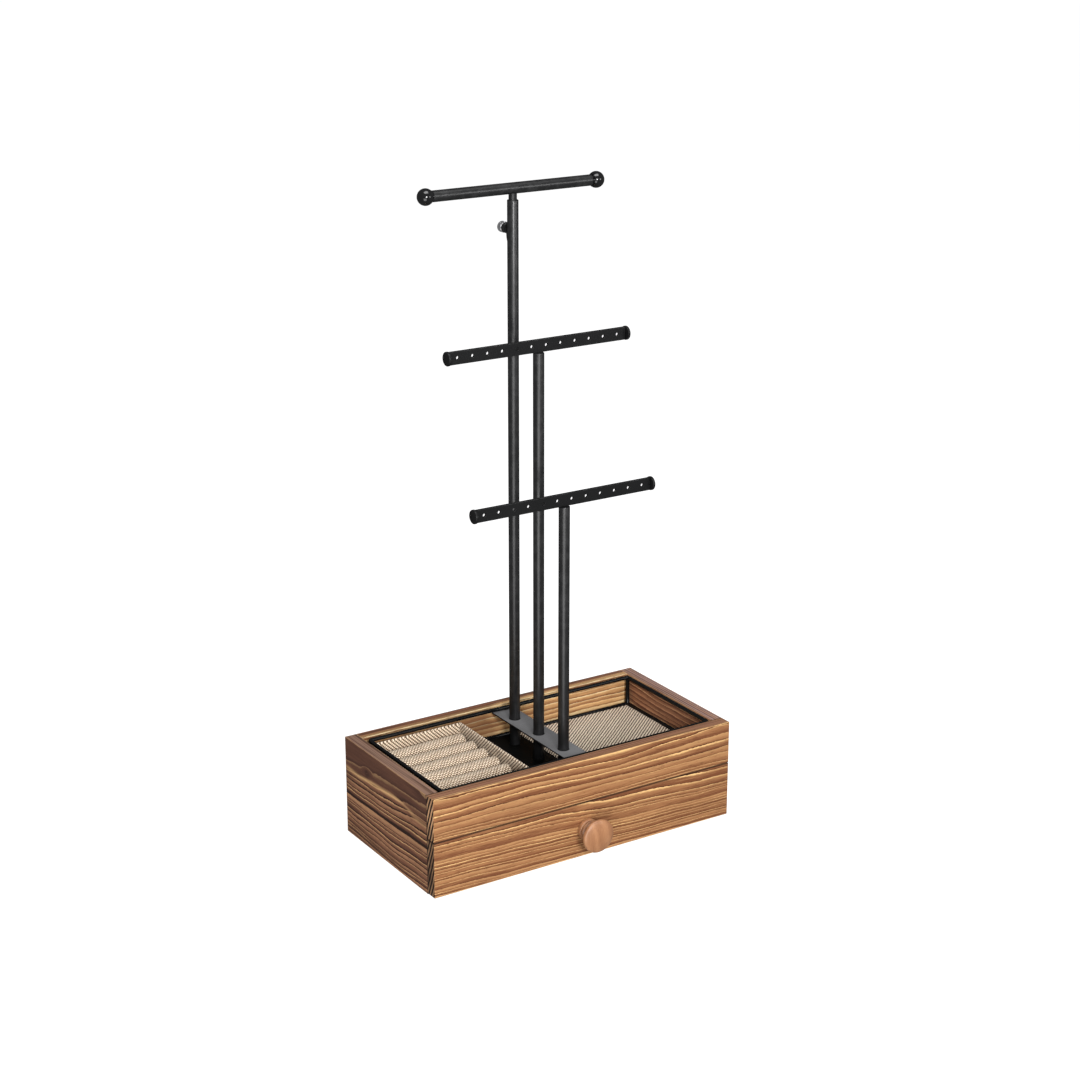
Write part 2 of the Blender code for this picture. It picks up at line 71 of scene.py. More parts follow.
class Nodes:
    """A short way to write a material's node tree."""

    def __init__(self, name):
        self.material = bpy.data.materials.new(name)
        self.material.use_nodes = True
        self.tree = self.material.node_tree
        self.shader = self.tree.nodes["Principled BSDF"]
        self.coordinate = self.add("ShaderNodeTexCoord").outputs["Object"]

    def add(self, kind, **settings):
        node = self.tree.nodes.new(kind)
        for key, value in settings.items():
            setattr(node, key, value)
        return node

    def put(self, value, socket):
        if isinstance(value, bpy.types.NodeSocket):
            self.tree.links.new(value, socket)
        else:
            socket.default_value = value

    def fill(self, node, *values):
        """Puts values into a node's first inputs, in their order."""
        for value, socket in zip(values, node.inputs):
            self.put(value, socket)
        return node

    def math(self, operation, a, b=0.0, c=0.0, clamp=False):
        node = self.add("ShaderNodeMath", operation=operation, use_clamp=clamp)
        return self.fill(node, a, b, c).outputs[0]

    def sum(self, *values):
        total = values[0]
        for value in values[1:]:
            total = self.math("ADD", total, value)
        return total

    def times(self, a, b):
        return self.math("MULTIPLY", a, b)

    def minus(self, a, b):
        return self.math("SUBTRACT", a, b)

    def about(self, value, size):
        """Moves a noise from around 0.5 to around 0, and multiplies it by size."""
        return self.times(self.minus(value, 0.5), size)

    def hump(self, value):
        return self.math("ABSOLUTE", self.math("SINE", value))

    def scaled(self, vector, scale, offset=(0.0, 0.0, 0.0)):
        node = self.add("ShaderNodeMapping", vector_type="POINT")
        self.put(vector, node.inputs["Vector"])
        node.inputs["Location"].default_value = offset
        node.inputs["Scale"].default_value = scale
        return node.outputs[0]

    def split(self, vector):
        return self.fill(self.add("ShaderNodeSeparateXYZ"), vector).outputs

    def join(self, x, y, z):
        return self.fill(self.add("ShaderNodeCombineXYZ"), x, y, z).outputs[0]

    def normal(self):
        return self.split(self.add("ShaderNodeNewGeometry").outputs["Normal"])

    def noise(self, vector, scale, detail=2.0, rough=0.5, distortion=0.0):
        node = self.add("ShaderNodeTexNoise", noise_dimensions="3D")
        self.put(vector, node.inputs["Vector"])
        for key, value in (("Scale", scale), ("Detail", detail), ("Roughness", rough),
                           ("Distortion", distortion)):
            node.inputs[key].default_value = value
        return node.outputs["Fac"]

    def drawn(self, vector, scale, detail=2.0, rough=0.5, offset=(0.0, 0.0, 0.0)):
        """Noise with a scale of its own along each axis."""
        return self.noise(self.scaled(vector, scale, offset), 1.0, detail, rough)

    def noise_line(self, value):
        node = self.add("ShaderNodeTexNoise", noise_dimensions="1D")
        self.put(value, node.inputs["W"])
        node.inputs["Scale"].default_value = 1.0
        node.inputs["Detail"].default_value = 1.0
        return node.outputs["Fac"]

    def white(self, value):
        node = self.add("ShaderNodeTexWhiteNoise", noise_dimensions="1D")
        self.put(value, node.inputs["W"])
        return node.outputs["Value"]

    def span(self, value, low, high, to_low=0.0, to_high=1.0, kind="SMOOTHSTEP"):
        node = self.add("ShaderNodeMapRange", interpolation_type=kind)
        return self.fill(node, value, low, high, to_low, to_high).outputs[0]

    def ramp(self, value, stops, interpolation="LINEAR"):
        node = self.add("ShaderNodeValToRGB")
        node.color_ramp.interpolation = interpolation
        elements = node.color_ramp.elements
        while len(elements) < len(stops):
            elements.new(0.5)
        for element, (place, colour) in zip(elements, stops):
            element.position = place
            element.color = colour
        return self.fill(node, value).outputs[0]

    def blend(self, share, a, b):
        node = self.add("ShaderNodeMix", data_type="RGBA", blend_type="MIX")
        for value, socket in ((share, 0), (a, 6), (b, 7)):
            self.put(value, node.inputs[socket])
        return node.outputs[2]

    def attribute(self, name, output="Fac"):
        return self.add("ShaderNodeAttribute", attribute_name=name).outputs[output]

    def bump(self, height, distance, strength):
        node = self.add("ShaderNodeBump")
        node.inputs["Strength"].default_value = strength
        node.inputs["Distance"].default_value = distance
        self.put(height, node.inputs["Height"])
        return node.outputs[0]

    def finish(self, colour, rough, normal=None, **constants):
        for value, name in ((colour, "Base Color"), (rough, "Roughness"), (normal, "Normal")):
            if value is not None:
                self.put(value, self.shader.inputs[name])
        for name, value in constants.items():
            self.shader.inputs[name.replace("_", " ")].default_value = value
        return self.material


def rgba(red, green, blue):
    """A colour given as 0 to 255 on a screen, in the linear numbers that shaders take."""
    return (*(((c / 255 + 0.055) / 1.055) ** 2.4 if c > 10 else c / 255 / 12.92
              for c in (red, green, blue)), 1.0)


# ---------------------------------------------------------------- materials

# Browns of the torched pine, from the soft early wood to the seam between two rings. The box's
# front is golden and its ends are darker. The right board's and the back board's browns are
# lighter copies, painted light for the light that falls on the inner faces of the bay, which
# makes the inside of the back board the brightest.
FRONT_BROWNS = {"light": (172, 127, 85), "middle": (152, 106, 70), "deep": (114, 70, 45),
                "line": (236, 192, 130), "seam": (62, 31, 20), "rim": (110, 78, 68),
                "smoke": (84, 50, 32)}
SIDE_BROWNS = {"light": (177, 128, 96), "middle": (148, 102, 77), "deep": (106, 70, 56),
               "line": (240, 190, 134), "seam": (52, 34, 27), "rim": (130, 106, 92),
               "smoke": (86, 57, 47)}
# a lighter copy: painted light on the right board's inner face
RIGHT_BROWNS = {"light": (200, 143, 108), "middle": (166, 115, 86), "deep": (118, 79, 60),
                "line": (250, 200, 146), "seam": (62, 38, 30), "rim": (118, 104, 108),
                "smoke": (108, 72, 57)}
# a lighter copy: painted light on the back board's inner face
BACK_BROWNS = {"light": (238, 196, 138), "middle": (214, 166, 112), "deep": (160, 112, 76),
               "line": (255, 236, 186), "seam": (100, 58, 36), "rim": (110, 72, 54),
               "smoke": (112, 74, 50)}
# near black: the char of end grain and knots, and painted shade along the joints between boards
CHAR_AND_PAINTED_SHADE = rgba(38, 25, 21)
HONEY = rgba(222, 172, 128)


def knotted(n, offset, spot, knots):
    """Pushes the rings outwards round each knot, and marks the knots' dark cores."""
    along, across, z = spot
    core = 0.0
    for k_along, k_across, k_height, size in knots:
        apart = n.join(n.times(n.minus(along, k_along), 0.55), n.minus(across, k_across),
                       n.minus(z, k_height))
        gap = n.fill(n.add("ShaderNodeVectorMath", operation="LENGTH"), apart).outputs["Value"]
        offset = n.sum(offset, n.span(gap, 0.0, size * 3.2, size * 1.1, 0.0))
        core = n.math("MAXIMUM", core, n.span(gap, size * 0.3, size * 0.9, 1.0, 0.0))
    return offset, core


def end_grain(n, spot, sway, cloud, dark):
    """Nearly black end grain between steep honey-coloured stripes."""
    _, across, z = spot
    phase = n.math("FRACT", n.sum(n.times(across, 250.0), n.times(z, 95.0), n.times(sway, 0.5)))
    stripe = n.times(n.span(phase, 0.30, 0.50), n.minus(1.0, n.span(phase, 0.85, 1.0)))
    pores = n.drawn(n.coordinate, (1500.0, 1500.0, 1500.0))
    share = n.math("MULTIPLY", stripe, n.sum(0.80, n.times(pores, 0.6)), clamp=True)
    return n.blend(n.sum(n.times(cloud, 0.45 - dark * 0.2), dark), n.blend(share, HONEY, CHAR_AND_PAINTED_SHADE), CHAR_AND_PAINTED_SHADE)


def brushed_rim(n, brushed, colour):
    """The upward faces' colour, in streaks of a darker and a paler brown."""
    dark = rgba(*(c * 0.50 for c in colour))
    pale = rgba(*(min(255.0, c * 1.28) for c in colour))
    return n.ramp(brushed, [(0.36, dark), (0.47, rgba(*colour)), (0.64, pale)])


def pine(name, grain, heart, spacing, browns, seed, bend=1.0, torch=0.25, rim=0.5, smoke=None,
         knots=(), lean=0.0, rim_split=None, scorch=1.0, seam_width=0.14, end_dark=0.0,
         shade=None):
    """Torched and brushed pine. The growth rings are shells around the heart, a line along the
    grain axis ("X" or "Y") given by its place across the board and in height. Each ring starts
    with a thin bright line and darkens towards a scorched seam. The vertex attribute for wear and
    painted light lightens arrises above 0, partly as brushed wear and partly as a painted
    highlight, and darkens them below 0 as painted shade along a joint. rim is how far the upward
    faces turn to a darker, streaked brown, smoke is a pair of heights and shade a pair of places
    along the board between which the faces change to a darker brown, and a knot is (along,
    across, height, size)."""
    n = Nodes(name)
    x, y, z = n.split(n.coordinate)
    along, across = (x, y) if grain == "X" else (y, x)
    spot = (along, across, z)
    place = n.join(*spot)
    shift = (seed * 3.17, seed * 1.31, seed * 2.23)
    tint = {key: rgba(*colour) for key, colour in browns.items()}

    def streaks(length, width, detail=2.0, rough=0.5):
        """Noise drawn out along the grain."""
        return n.drawn(place, (length, width, width), detail, rough, shift)

    sweep = streaks(4.0, 20.0, 1.0)
    sway = streaks(15.0, 46.0, 1.0)
    ripple = streaks(55.0, 260.0, 1.0)
    jitter = streaks(300.0, 800.0)
    offset = n.sum(n.about(sweep, 0.0085 * bend), n.about(sway, 0.0026 * bend),
                   n.about(ripple, 0.0006), n.about(jitter, 0.0005), n.times(along, lean))
    offset, knot_core = knotted(n, offset, spot, knots)
    side = n.minus(across, heart[0])
    height = n.minus(z, heart[1])
    radius = n.math("SQRT", n.sum(n.times(side, side), n.times(height, height)))
    radius = n.sum(radius, offset)
    uneven = n.noise_line(n.math("MULTIPLY_ADD", radius, 0.30 / spacing, seed * 7.7))
    rings = n.math("MULTIPLY_ADD", radius, 1.0 / spacing, n.times(uneven, 2.6))
    ring = n.math("FLOOR", rings)
    phase = n.math("FRACT", rings)
    luck = n.white(n.sum(ring, seed * 11.0))
    luck_two = n.white(n.sum(ring, seed * 11.0 + 0.37))
    fine = n.math("FRACT", n.sum(n.times(rings, 3.0), n.times(luck, 2.0)))
    fibre = streaks(70.0, 2100.0, 3.0, 0.6)
    strand = streaks(20.0, 520.0, 3.0, 0.6)
    cloud = n.span(n.drawn(place, (8.0, 48.0, 48.0), 3.0, 0.55, (5.0 + seed, 1.0, 2.0)),
                   0.42, 0.72)
    patchy = n.span(streaks(20.0, 80.0), 0.30, 0.62)

    # early wood: lighter at the ring's start, darker at its end, and each ring a little different
    depth = n.sum(phase, n.about(luck_two, 0.65), n.about(fine, n.times(luck_two, 0.18)),
                  n.about(strand, 1.0), n.about(fibre, 1.0))
    colour = n.ramp(depth, [(0.0, tint["light"]), (0.42, tint["middle"]), (1.0, tint["deep"])],
                    "EASE")
    # the bright line is sharp on its outer side and fades inwards
    width = n.span(luck, 0.0, 1.0, 0.12, 0.36, kind="LINEAR")
    shine = n.times(n.span(phase, 0.0, 0.04),
                    n.minus(1.0, n.span(phase, n.times(width, 0.25), width)))
    shine = n.times(shine, n.sum(0.30, n.times(patchy, 0.70)))
    shine = n.times(shine, n.span(luck_two, 0.15, 0.9, 0.25, 1.1))
    colour = n.blend(n.math("MINIMUM", shine, 1.0), colour, tint["line"])
    seam = n.times(n.span(phase, 1.0 - seam_width, 0.98), n.span(luck, 0.10, 0.75, 0.35, 1.0))
    seam = n.math("MULTIPLY", seam, n.times(n.sum(0.50, n.times(patchy, 0.50)), scorch),
                  clamp=True)
    stroke = n.span(streaks(130.0, 1500.0, 2.0, 0.6), 0.58, 0.72)
    for share in (seam, n.times(stroke, 0.45), n.times(cloud, torch)):
        colour = n.blend(share, colour, tint["seam"])
    colour = n.blend(n.times(knot_core, 0.85), colour, CHAR_AND_PAINTED_SHADE)

    # upward faces in a darker, streaked brown, a band darkened by the torch's smoke, and a darker
    # brown along the board
    normal = n.normal()
    if smoke:
        murk = n.span(n.sum(z, n.about(sway, 0.02)), *smoke)
        colour = n.blend(n.times(murk, 0.70), colour, tint["smoke"])
        contour = n.times(n.span(murk, 0.10, 0.35), n.minus(1.0, n.span(murk, 0.35, 0.7)))
        colour = n.blend(n.times(contour, n.sum(0.15, n.times(patchy, 0.6))), colour,
                         tint["line"])
    on_rim = n.times(n.span(normal[2], 0.8, 0.95),
                     n.sum(rim, n.times(strand, 0.3), n.times(shine, -0.30), -0.10))
    if shade:
        murk = n.span(n.sum(along, n.about(sway, 0.04)), *shade, 1.0, 0.0)
        colour = n.blend(n.times(murk, 0.65), colour, tint["smoke"])
    if rim_split is not None:
        on_rim = n.times(on_rim, n.span(n.sum(across, n.times(offset, 0.4)), rim_split - 0.0015,
                                        rim_split + 0.0015, 0.25, 1.35))
    rim_colour = brushed_rim(n, streaks(9.0, 760.0), browns["rim"])
    colour = n.blend(n.math("MINIMUM", on_rim, 1.0), colour, rim_colour)
    on_end = n.span(n.math("ABSOLUTE", normal["XYZ".index(grain)]), 0.75, 0.92)
    colour = n.blend(on_end, colour, end_grain(n, spot, sway, cloud, end_dark))

    # arrises: lightened partly as brushed wear and partly as a painted highlight, and darkened along
    # joints as painted shade
    rubbed = n.span(streaks(90.0, 300.0), 0.30, 0.60, 0.35, 1.0)
    wear_and_painted_light = n.attribute("wear_and_painted_light")
    colour = n.blend(n.times(n.math("MAXIMUM", wear_and_painted_light, 0.0), n.times(rubbed, 0.75)), colour,
                     tint["line"])
    # painted shade along the joints between boards
    joint_painted_shade = n.math("MAXIMUM", n.times(wear_and_painted_light, -1.0), 0.0)
    colour = n.blend(n.times(joint_painted_shade, 0.9), colour, CHAR_AND_PAINTED_SHADE)
    relief = n.sum(n.times(shine, 0.8), n.times(seam, -0.8), n.times(fibre, 0.25),
                   n.times(strand, 0.2))
    rough = n.sum(0.52, n.times(shine, -0.08), n.times(fibre, 0.12), n.times(cloud, 0.08))
    return n.finish(colour, rough, n.bump(relief, 0.00016, 0.5), Specular_IOR_Level=0.14)


def knob_wood():
    """Turned light hardwood with a satin varnish; its grain runs up and down across the head."""
    n = Nodes("knob_wood")
    place = n.scaled(n.coordinate, (1.0, 1.0, 1.0), (0.013, 0.0, 0.004))
    bend = n.drawn(place, (70.0, 70.0, 24.0))
    x, _, z = n.split(place)
    wave = n.math("SINE", n.sum(n.times(x, 620.0), n.times(z, 160.0), n.times(bend, 7.0)))
    fibre = n.drawn(place, (1500.0, 1500.0, 170.0), 3.0, 0.6)
    pores = n.span(n.drawn(place, (3300.0, 3300.0, 300.0), 1.0), 0.64, 0.74)
    share = n.sum(0.5, n.times(wave, 0.16), n.about(fibre, 0.8))
    colour = n.ramp(share, [(0.0, rgba(130, 86, 56)), (0.5, rgba(159, 111, 76)),
                            (1.0, rgba(180, 131, 93))])
    colour = n.blend(n.times(pores, 0.35), colour, rgba(112, 70, 46))
    # painted shade in the groove and under the neck, from the attribute for wear and painted light
    colour = n.blend(n.times(n.attribute("wear_and_painted_light"), 0.75), colour, rgba(84, 50, 34))
    rough = n.sum(0.36, n.times(fibre, 0.14))
    return n.finish(colour, rough, n.bump(fibre, 0.00006, 0.4), Coat_Weight=0.15,
                    Coat_Roughness=0.3)


def plywood(name, grain, layers):
    """Thin birch ply: fine pale grain on the faces, and its layers where an edge cuts them."""
    n = Nodes(name)
    spot = n.split(n.coordinate)
    x, y, z = spot
    place = n.join(x, y, z) if grain == "X" else n.join(y, x, z)
    bend = n.drawn(place, (8.0, 50.0, 50.0))
    flame = n.noise(n.scaled(n.join(*n.split(place)[:2], n.times(bend, 0.05)),
                             (14.0, 210.0, 60.0)), 1.0, 3.0, 0.6, 0.6)
    fibre = n.drawn(place, (90.0, 2200.0, 2200.0), 3.0, 0.6)
    share = n.sum(n.times(flame, 0.75), n.times(fibre, 0.45), -0.1)
    colour = n.ramp(share, [(0.22, rgba(160, 116, 74)), (0.5, rgba(192, 152, 106)),
                            (0.8, rgba(210, 174, 130))])
    axis = "XYZ".index(layers)
    bands = n.math("FRACT", n.times(spot[axis], 1.0 / 0.0013))
    on_edge = n.minus(1.0, n.span(n.math("ABSOLUTE", n.normal()[axis]), 0.3, 0.8))
    layer = n.times(n.span(bands, 0.45, 0.55), on_edge)
    colour = n.blend(n.times(layer, 0.55), colour, rgba(140, 92, 56))
    rough = n.sum(0.56, n.times(fibre, 0.16))
    return n.finish(colour, rough, n.bump(n.sum(fibre, n.times(layer, -0.6)), 0.0001, 0.5))


def powder_coat(name, colour, rough, grain, gloss, painted_sheen_on_top=False):
    """Black paint on metal: fine orange peel, a faintly uneven sheen, rubbed lighter on edges.
    With the painted sheen on top, only the upward faces show the colour, which then stands for a
    painted reflection of the bright surroundings, and the rest is black."""
    n = Nodes(name)
    peel = n.noise(n.coordinate, 2600.0)
    speck = n.noise(n.coordinate, 7000.0, 1.0)
    broad = n.drawn(n.coordinate, (30.0, 30.0, 9.0))
    handled = n.noise(n.coordinate, 150.0, 4.0, 0.6)
    light = tuple(c * 1.5 + 0.001 for c in colour)
    base = n.blend(n.span(n.sum(n.times(speck, 0.7), n.times(broad, 0.3)), 0.3, 0.7),
                   (*colour, 1.0), (*light, 1.0))
    rub = n.times(n.attribute("wear_and_painted_light"), n.span(handled, 0.42, 0.7))
    base = n.blend(n.times(rub, 0.25), base, (0.06, 0.06, 0.062, 1.0))
    # painted reflection: the upward faces take the colour as a sheen of the bright surroundings, the
    # other faces stay black
    if painted_sheen_on_top:
        base = n.blend(n.span(n.normal()[2], 0.45, 0.9), (0.004, 0.004, 0.0045, 1.0), base)
    rough_out = n.sum(rough - 0.02, n.times(speck, 0.03), n.times(broad, 0.02))
    height = n.sum(peel, n.times(speck, 0.35))
    edge = n.add("ShaderNodeLayerWeight").outputs["Facing"]
    n.put(n.span(edge, 0.30, 0.66, gloss, gloss * 0.12), n.shader.inputs["Specular IOR Level"])
    return n.finish(base, rough_out, n.bump(height, grain, 0.5))


# gap is painted shade between the threads; brown, straw and cream are the yarns
YARNS = [(0.0, rgba(70, 50, 37)), (0.30, rgba(126, 97, 71)), (0.62, rgba(196, 171, 141)),
         (1.0, rgba(242, 226, 204))]     # gap, brown, straw and cream


def linen(name, rib, degrees, furrow, contrast=1.0, dark=0.0):
    """Coarse linen in slanted ribs of the pitch rib, each a row of short cream stitches over
    brown. The attribute "flat" holds the place in the flat cloth, in metres. furrow is how deep
    the gaps between the stitches are, both in the bump and in the colour, where the gaps darken
    as painted shade."""
    n = Nodes(name)
    flat = n.attribute("flat", "Vector")
    u, v, _ = n.split(flat)
    loose = n.minus(n.drawn(flat, (240.0, 240.0, 1.0)), 0.5)
    u = n.math("MULTIPLY_ADD", loose, 0.0007, u)
    v = n.math("MULTIPLY_ADD", loose, -0.0006, v)
    fleck = n.drawn(flat, (620.0, 620.0, 1.0), 2.0, 0.6)
    hair = n.drawn(flat, (3600.0, 3600.0, 1.0))
    cosine, sine = math.cos(math.radians(degrees)), math.sin(math.radians(degrees))
    across = n.times(n.sum(n.times(u, cosine), n.times(v, sine)), 1.0 / rib)
    along = n.times(n.sum(n.times(u, -sine), n.times(v, cosine)), 1.0 / (YARN * 1.5))
    row = n.white(n.math("FLOOR", across))
    ridge = n.hump(n.times(across, math.pi))
    stitch = n.hump(n.times(n.sum(along, row), math.pi))
    height = n.times(n.span(ridge, 0.05, 0.95, furrow, 1.0 - furrow * 0.2),
                     n.sum(0.55 - furrow * 0.8, n.times(stitch, 0.45 + furrow * 0.9)))
    # the tone follows the height, so the gaps between stitches take painted shade
    tone = n.sum(n.times(height, 1.75), n.times(fleck, 0.45), n.times(hair, 0.25),
                 n.times(row, 0.14), -0.80)
    tone = n.math("MULTIPLY_ADD", tone, contrast, 0.5 - 0.5 * contrast - dark)
    rough = n.sum(0.84, n.times(hair, 0.12))
    return n.finish(n.ramp(tone, YARNS), rough,
                    n.bump(n.sum(height, n.times(hair, 0.3)), 0.0004, 0.8),
                    Sheen_Weight=0.15, Sheen_Roughness=0.5, Specular_IOR_Level=0.2)


def metal(name, colour, rough, spread):
    """Plated steel: fine brushing, small stains and softer edges."""
    n = Nodes(name)
    brush = n.drawn(n.coordinate, (900.0, 900.0, 4200.0), 3.0)
    stain = n.noise(n.coordinate, 420.0, 4.0, 0.6)
    low = tuple(c * 0.82 for c in colour)
    base = n.blend(stain, (*low, 1.0), (*colour, 1.0))
    rough_out = n.sum(rough, n.times(brush, spread), n.times(stain, spread))
    return n.finish(base, rough_out, n.bump(brush, 0.00002, 0.3), Metallic=1.0)


def nylon():
    n = Nodes("nylon")
    mottle = n.noise(n.coordinate, 900.0, 3.0)
    colour = n.blend(mottle, rgba(206, 203, 194), rgba(224, 222, 214))
    return n.finish(colour, n.sum(0.42, n.times(mottle, 0.15)), n.bump(mottle, 0.00003, 0.4),
                    Subsurface_Weight=0.15, Subsurface_Radius=(0.002, 0.0018, 0.0015))


# ---------------------------------------------------------------- mesh helpers

def placed(obj, node, material, also=()):
    """Hides the CAD nodes that obj stands for, hangs obj on their body and gives it the material."""
    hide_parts(node, *also)
    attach(obj, BODY_OF[node])
    obj.data.materials.clear()
    obj.data.materials.append(material)


def centre_of(node):
    low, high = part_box(node)
    return (low + high) / 2


def foot_of(node):
    """The middle of a node's underside."""
    low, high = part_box(node)
    return Vector(((low.x + high.x) / 2, (low.y + high.y) / 2, low.z))


def new_object(name, mesh):
    obj = bpy.data.objects.new(name, mesh)
    bpy.context.scene.collection.objects.link(obj)
    return obj


def mesh_of(name, solid):
    """Makes a mesh from a bmesh, which is used up."""
    mesh = bpy.data.meshes.new(name)
    solid.to_mesh(mesh)
    solid.free()
    return mesh


def mesh_from(name, points, faces, wear_and_painted_light=None):
    mesh = bpy.data.meshes.new(name)
    mesh.from_pydata([tuple(p) for p in points], [], faces)
    mesh.update()
    if wear_and_painted_light is not None:
        mesh.attributes.new("wear_and_painted_light", "FLOAT", "POINT").data.foreach_set("value", wear_and_painted_light)
    return mesh


def shade_smooth(mesh, angle=None):
    mesh.polygons.foreach_set("use_smooth", [True] * len(mesh.polygons))
    if angle is not None:
        mesh.set_sharp_from_angle(angle=math.radians(angle))
    mesh.update()


def stops_along(low, high, radius, inner):
    """Where a rounded box's rows of vertices lie along one axis, close together at its edges."""
    half = (high - low) / 2
    radius = min(radius, half * 0.98)
    near = [0.0, radius * 0.28, radius * 0.6, radius]
    near += [d for d in (radius + 0.0003, radius + 0.0006, radius + 0.002) if d < half * 0.9]
    left = [low + d for d in near]
    right = [high - d for d in reversed(near)]
    spread = right[0] - left[-1]
    count = max(1, int(spread / inner)) if inner else 1
    middle = [left[-1] + spread * i / count for i in range(1, count)]
    return left + middle + right


def rounded_box(name, low, high, radius=0.0006, inner=0.0, arris=None):
    """A closed board or bar with round arrises. The vertex attribute for wear and painted light is 1
    on the arrises and fades to 0 a millimetre in from them. arris(point) may set another strength,
    and below 0 it darkens the arris instead, as painted shade along a joint."""
    low, high = Vector(low), Vector(high)
    radius = min(radius, min(high - low) * 0.49)
    rows = [stops_along(low[i], high[i], radius, inner) for i in range(3)]
    core_low = low + Vector((radius,) * 3)
    core_high = high - Vector((radius,) * 3)
    index, points, wear_and_painted_light = {}, [], []

    def vertex(key):
        if key in index:
            return index[key]
        raw = Vector(rows[i][key[i]] for i in range(3))
        core = Vector(min(max(raw[i], core_low[i]), core_high[i]) for i in range(3))
        out = raw - core
        near = sorted(min(raw[i] - low[i], high[i] - raw[i]) for i in range(3))[1]
        fade = max(0.0, 1.0 - max(0.0, near - radius) / 0.0006)
        wear_and_painted_light.append(fade * (arris(raw) if arris else 1.0))
        points.append(core + out.normalized() * radius if out.length > 1e-9 else raw)
        index[key] = len(points) - 1
        return index[key]

    faces = []
    for axis in range(3):
        one, two = (axis + 1) % 3, (axis + 2) % 3
        for end in (0, len(rows[axis]) - 1):
            for i in range(len(rows[one]) - 1):
                for j in range(len(rows[two]) - 1):
                    corners = []
                    for di, dj in ((0, 0), (1, 0), (1, 1), (0, 1)):
                        key = [0, 0, 0]
                        key[axis], key[one], key[two] = end, i + di, j + dj
                        corners.append(vertex(tuple(key)))
                    faces.append(corners if end else corners[::-1])
    mesh = mesh_from(name, points, faces, wear_and_painted_light)
    shade_smooth(mesh)
    return new_object(name, mesh)


def turned(name, outline, origin, along, steps=64, wear_and_painted_light=None, closed=False, cut_angle=35,
           knurl=None):
    """A turned piece: outline is (radius, distance) pairs from the top down the outer side, and
    distances are measured from origin along the axis. knurl(radius, distance, angle) may move
    the radius."""
    axis = Vector(along).normalized()
    side = Vector((1.0, 0.0, 0.0)) if abs(axis.z) > 0.9 else axis.orthogonal().normalized()
    other = axis.cross(side)
    points, rings, shares = [], [], []
    for k, (radius, distance) in enumerate(outline):
        middle = Vector(origin) + axis * distance
        count = 1 if radius < 1e-7 else steps
        rings.append([len(points) + i for i in range(count)])
        shares += [wear_and_painted_light[k] if wear_and_painted_light else 0.0] * count
        if count == 1:
            points.append(middle)
            continue
        for i in range(steps):
            angle = TURN * i / steps
            r = knurl(radius, distance, angle) if knurl else radius
            points.append(middle + (side * math.cos(angle) + other * math.sin(angle)) * r)
    faces = []
    pairs = list(zip(rings, rings[1:])) + ([(rings[-1], rings[0])] if closed else [])
    for upper, lower in pairs:
        for i in range(steps):
            j = (i + 1) % steps
            if len(upper) == 1:
                faces.append((upper[0], lower[i], lower[j]))
            elif len(lower) == 1:
                faces.append((upper[i], lower[0], upper[j]))
            else:
                faces.append((upper[i], lower[i], lower[j], upper[j]))
    mesh = mesh_from(name, points, faces, shares)
    shade_smooth(mesh, cut_angle)
    return new_object(name, mesh)


def arc(centre_radius, centre_distance, radius, start, end, count):
    """Points (radius, distance) on an arc of an outline; angles in degrees, 0 is outward."""
    turns = [math.radians(start + (end - start) * i / count) for i in range(count + 1)]
    return [(max(0.0, centre_radius + radius * math.cos(turn)),
             centre_distance + radius * math.sin(turn)) for turn in turns]


def thread(shank, start, end, depth):
    """The outline of a fine thread on a shank, from start down to end."""
    rows = []
    while start > end:
        rows += [(shank, start), (shank - depth, start - THREAD_PITCH / 2)]
        start -= THREAD_PITCH
    return rows


def bridge(solid, rings, flip=False):
    """Joins closed rings of vertices one after the other, and closes both ends."""
    count = len(rings[0])
    for a, b in zip(rings, rings[1:]):
        for i in range(count):
            j = (i + 1) % count
            solid.faces.new((a[i], b[i], b[j], a[j]) if flip else (a[i], a[j], b[j], b[i]))
    solid.faces.new(rings[0] if flip else rings[0][::-1])
    solid.faces.new(rings[-1][::-1] if flip else rings[-1])


def apply_modifiers(obj):
    """Turns what the modifiers make into the object's own mesh."""
    bpy.context.view_layer.update()
    graph = bpy.context.evaluated_depsgraph_get()
    mesh = bpy.data.meshes.new_from_object(obj.evaluated_get(graph), depsgraph=graph,
                                           preserve_all_data_layers=True)
    obj.modifiers.clear()
    obj.data = mesh


def combined(obj, solid, operation, angle, use_self=False):
    """Adds a bmesh solid to obj, or cuts it out of obj, and shades the result."""
    tool = new_object("tool", mesh_of("tool", solid))
    step = obj.modifiers.new("tool", "BOOLEAN")
    step.operation = operation
    step.solver = "EXACT"
    step.use_self = use_self
    step.object = tool
    apply_modifiers(obj)
    bpy.data.objects.remove(tool)
    shade_smooth(obj.data, angle)


def drilled(obj, centres, along, radius, depth, chamfer, steps=32):
    """Cuts round holes with a small chamfer at both faces."""
    turn = Vector(along).normalized().to_track_quat("Z", "Y").to_matrix().to_4x4()
    wide = radius + chamfer + DRILL_REACH
    half = depth / 2
    solid = bmesh.new()
    for centre in centres:
        place = Matrix.Translation(centre) @ turn
        rings = []
        for r, z in ((wide, -half - DRILL_REACH), (radius, chamfer - half),
                     (radius, half - chamfer), (wide, half + DRILL_REACH)):
            circle = [Vector((r * math.cos(TURN * i / steps), r * math.sin(TURN * i / steps), z))
                      for i in range(steps)]
            rings.append([solid.verts.new(place @ point) for point in circle])
        bridge(solid, rings)
    combined(obj, solid, "DIFFERENCE", 30)


# ---------------------------------------------------------------- wooden box

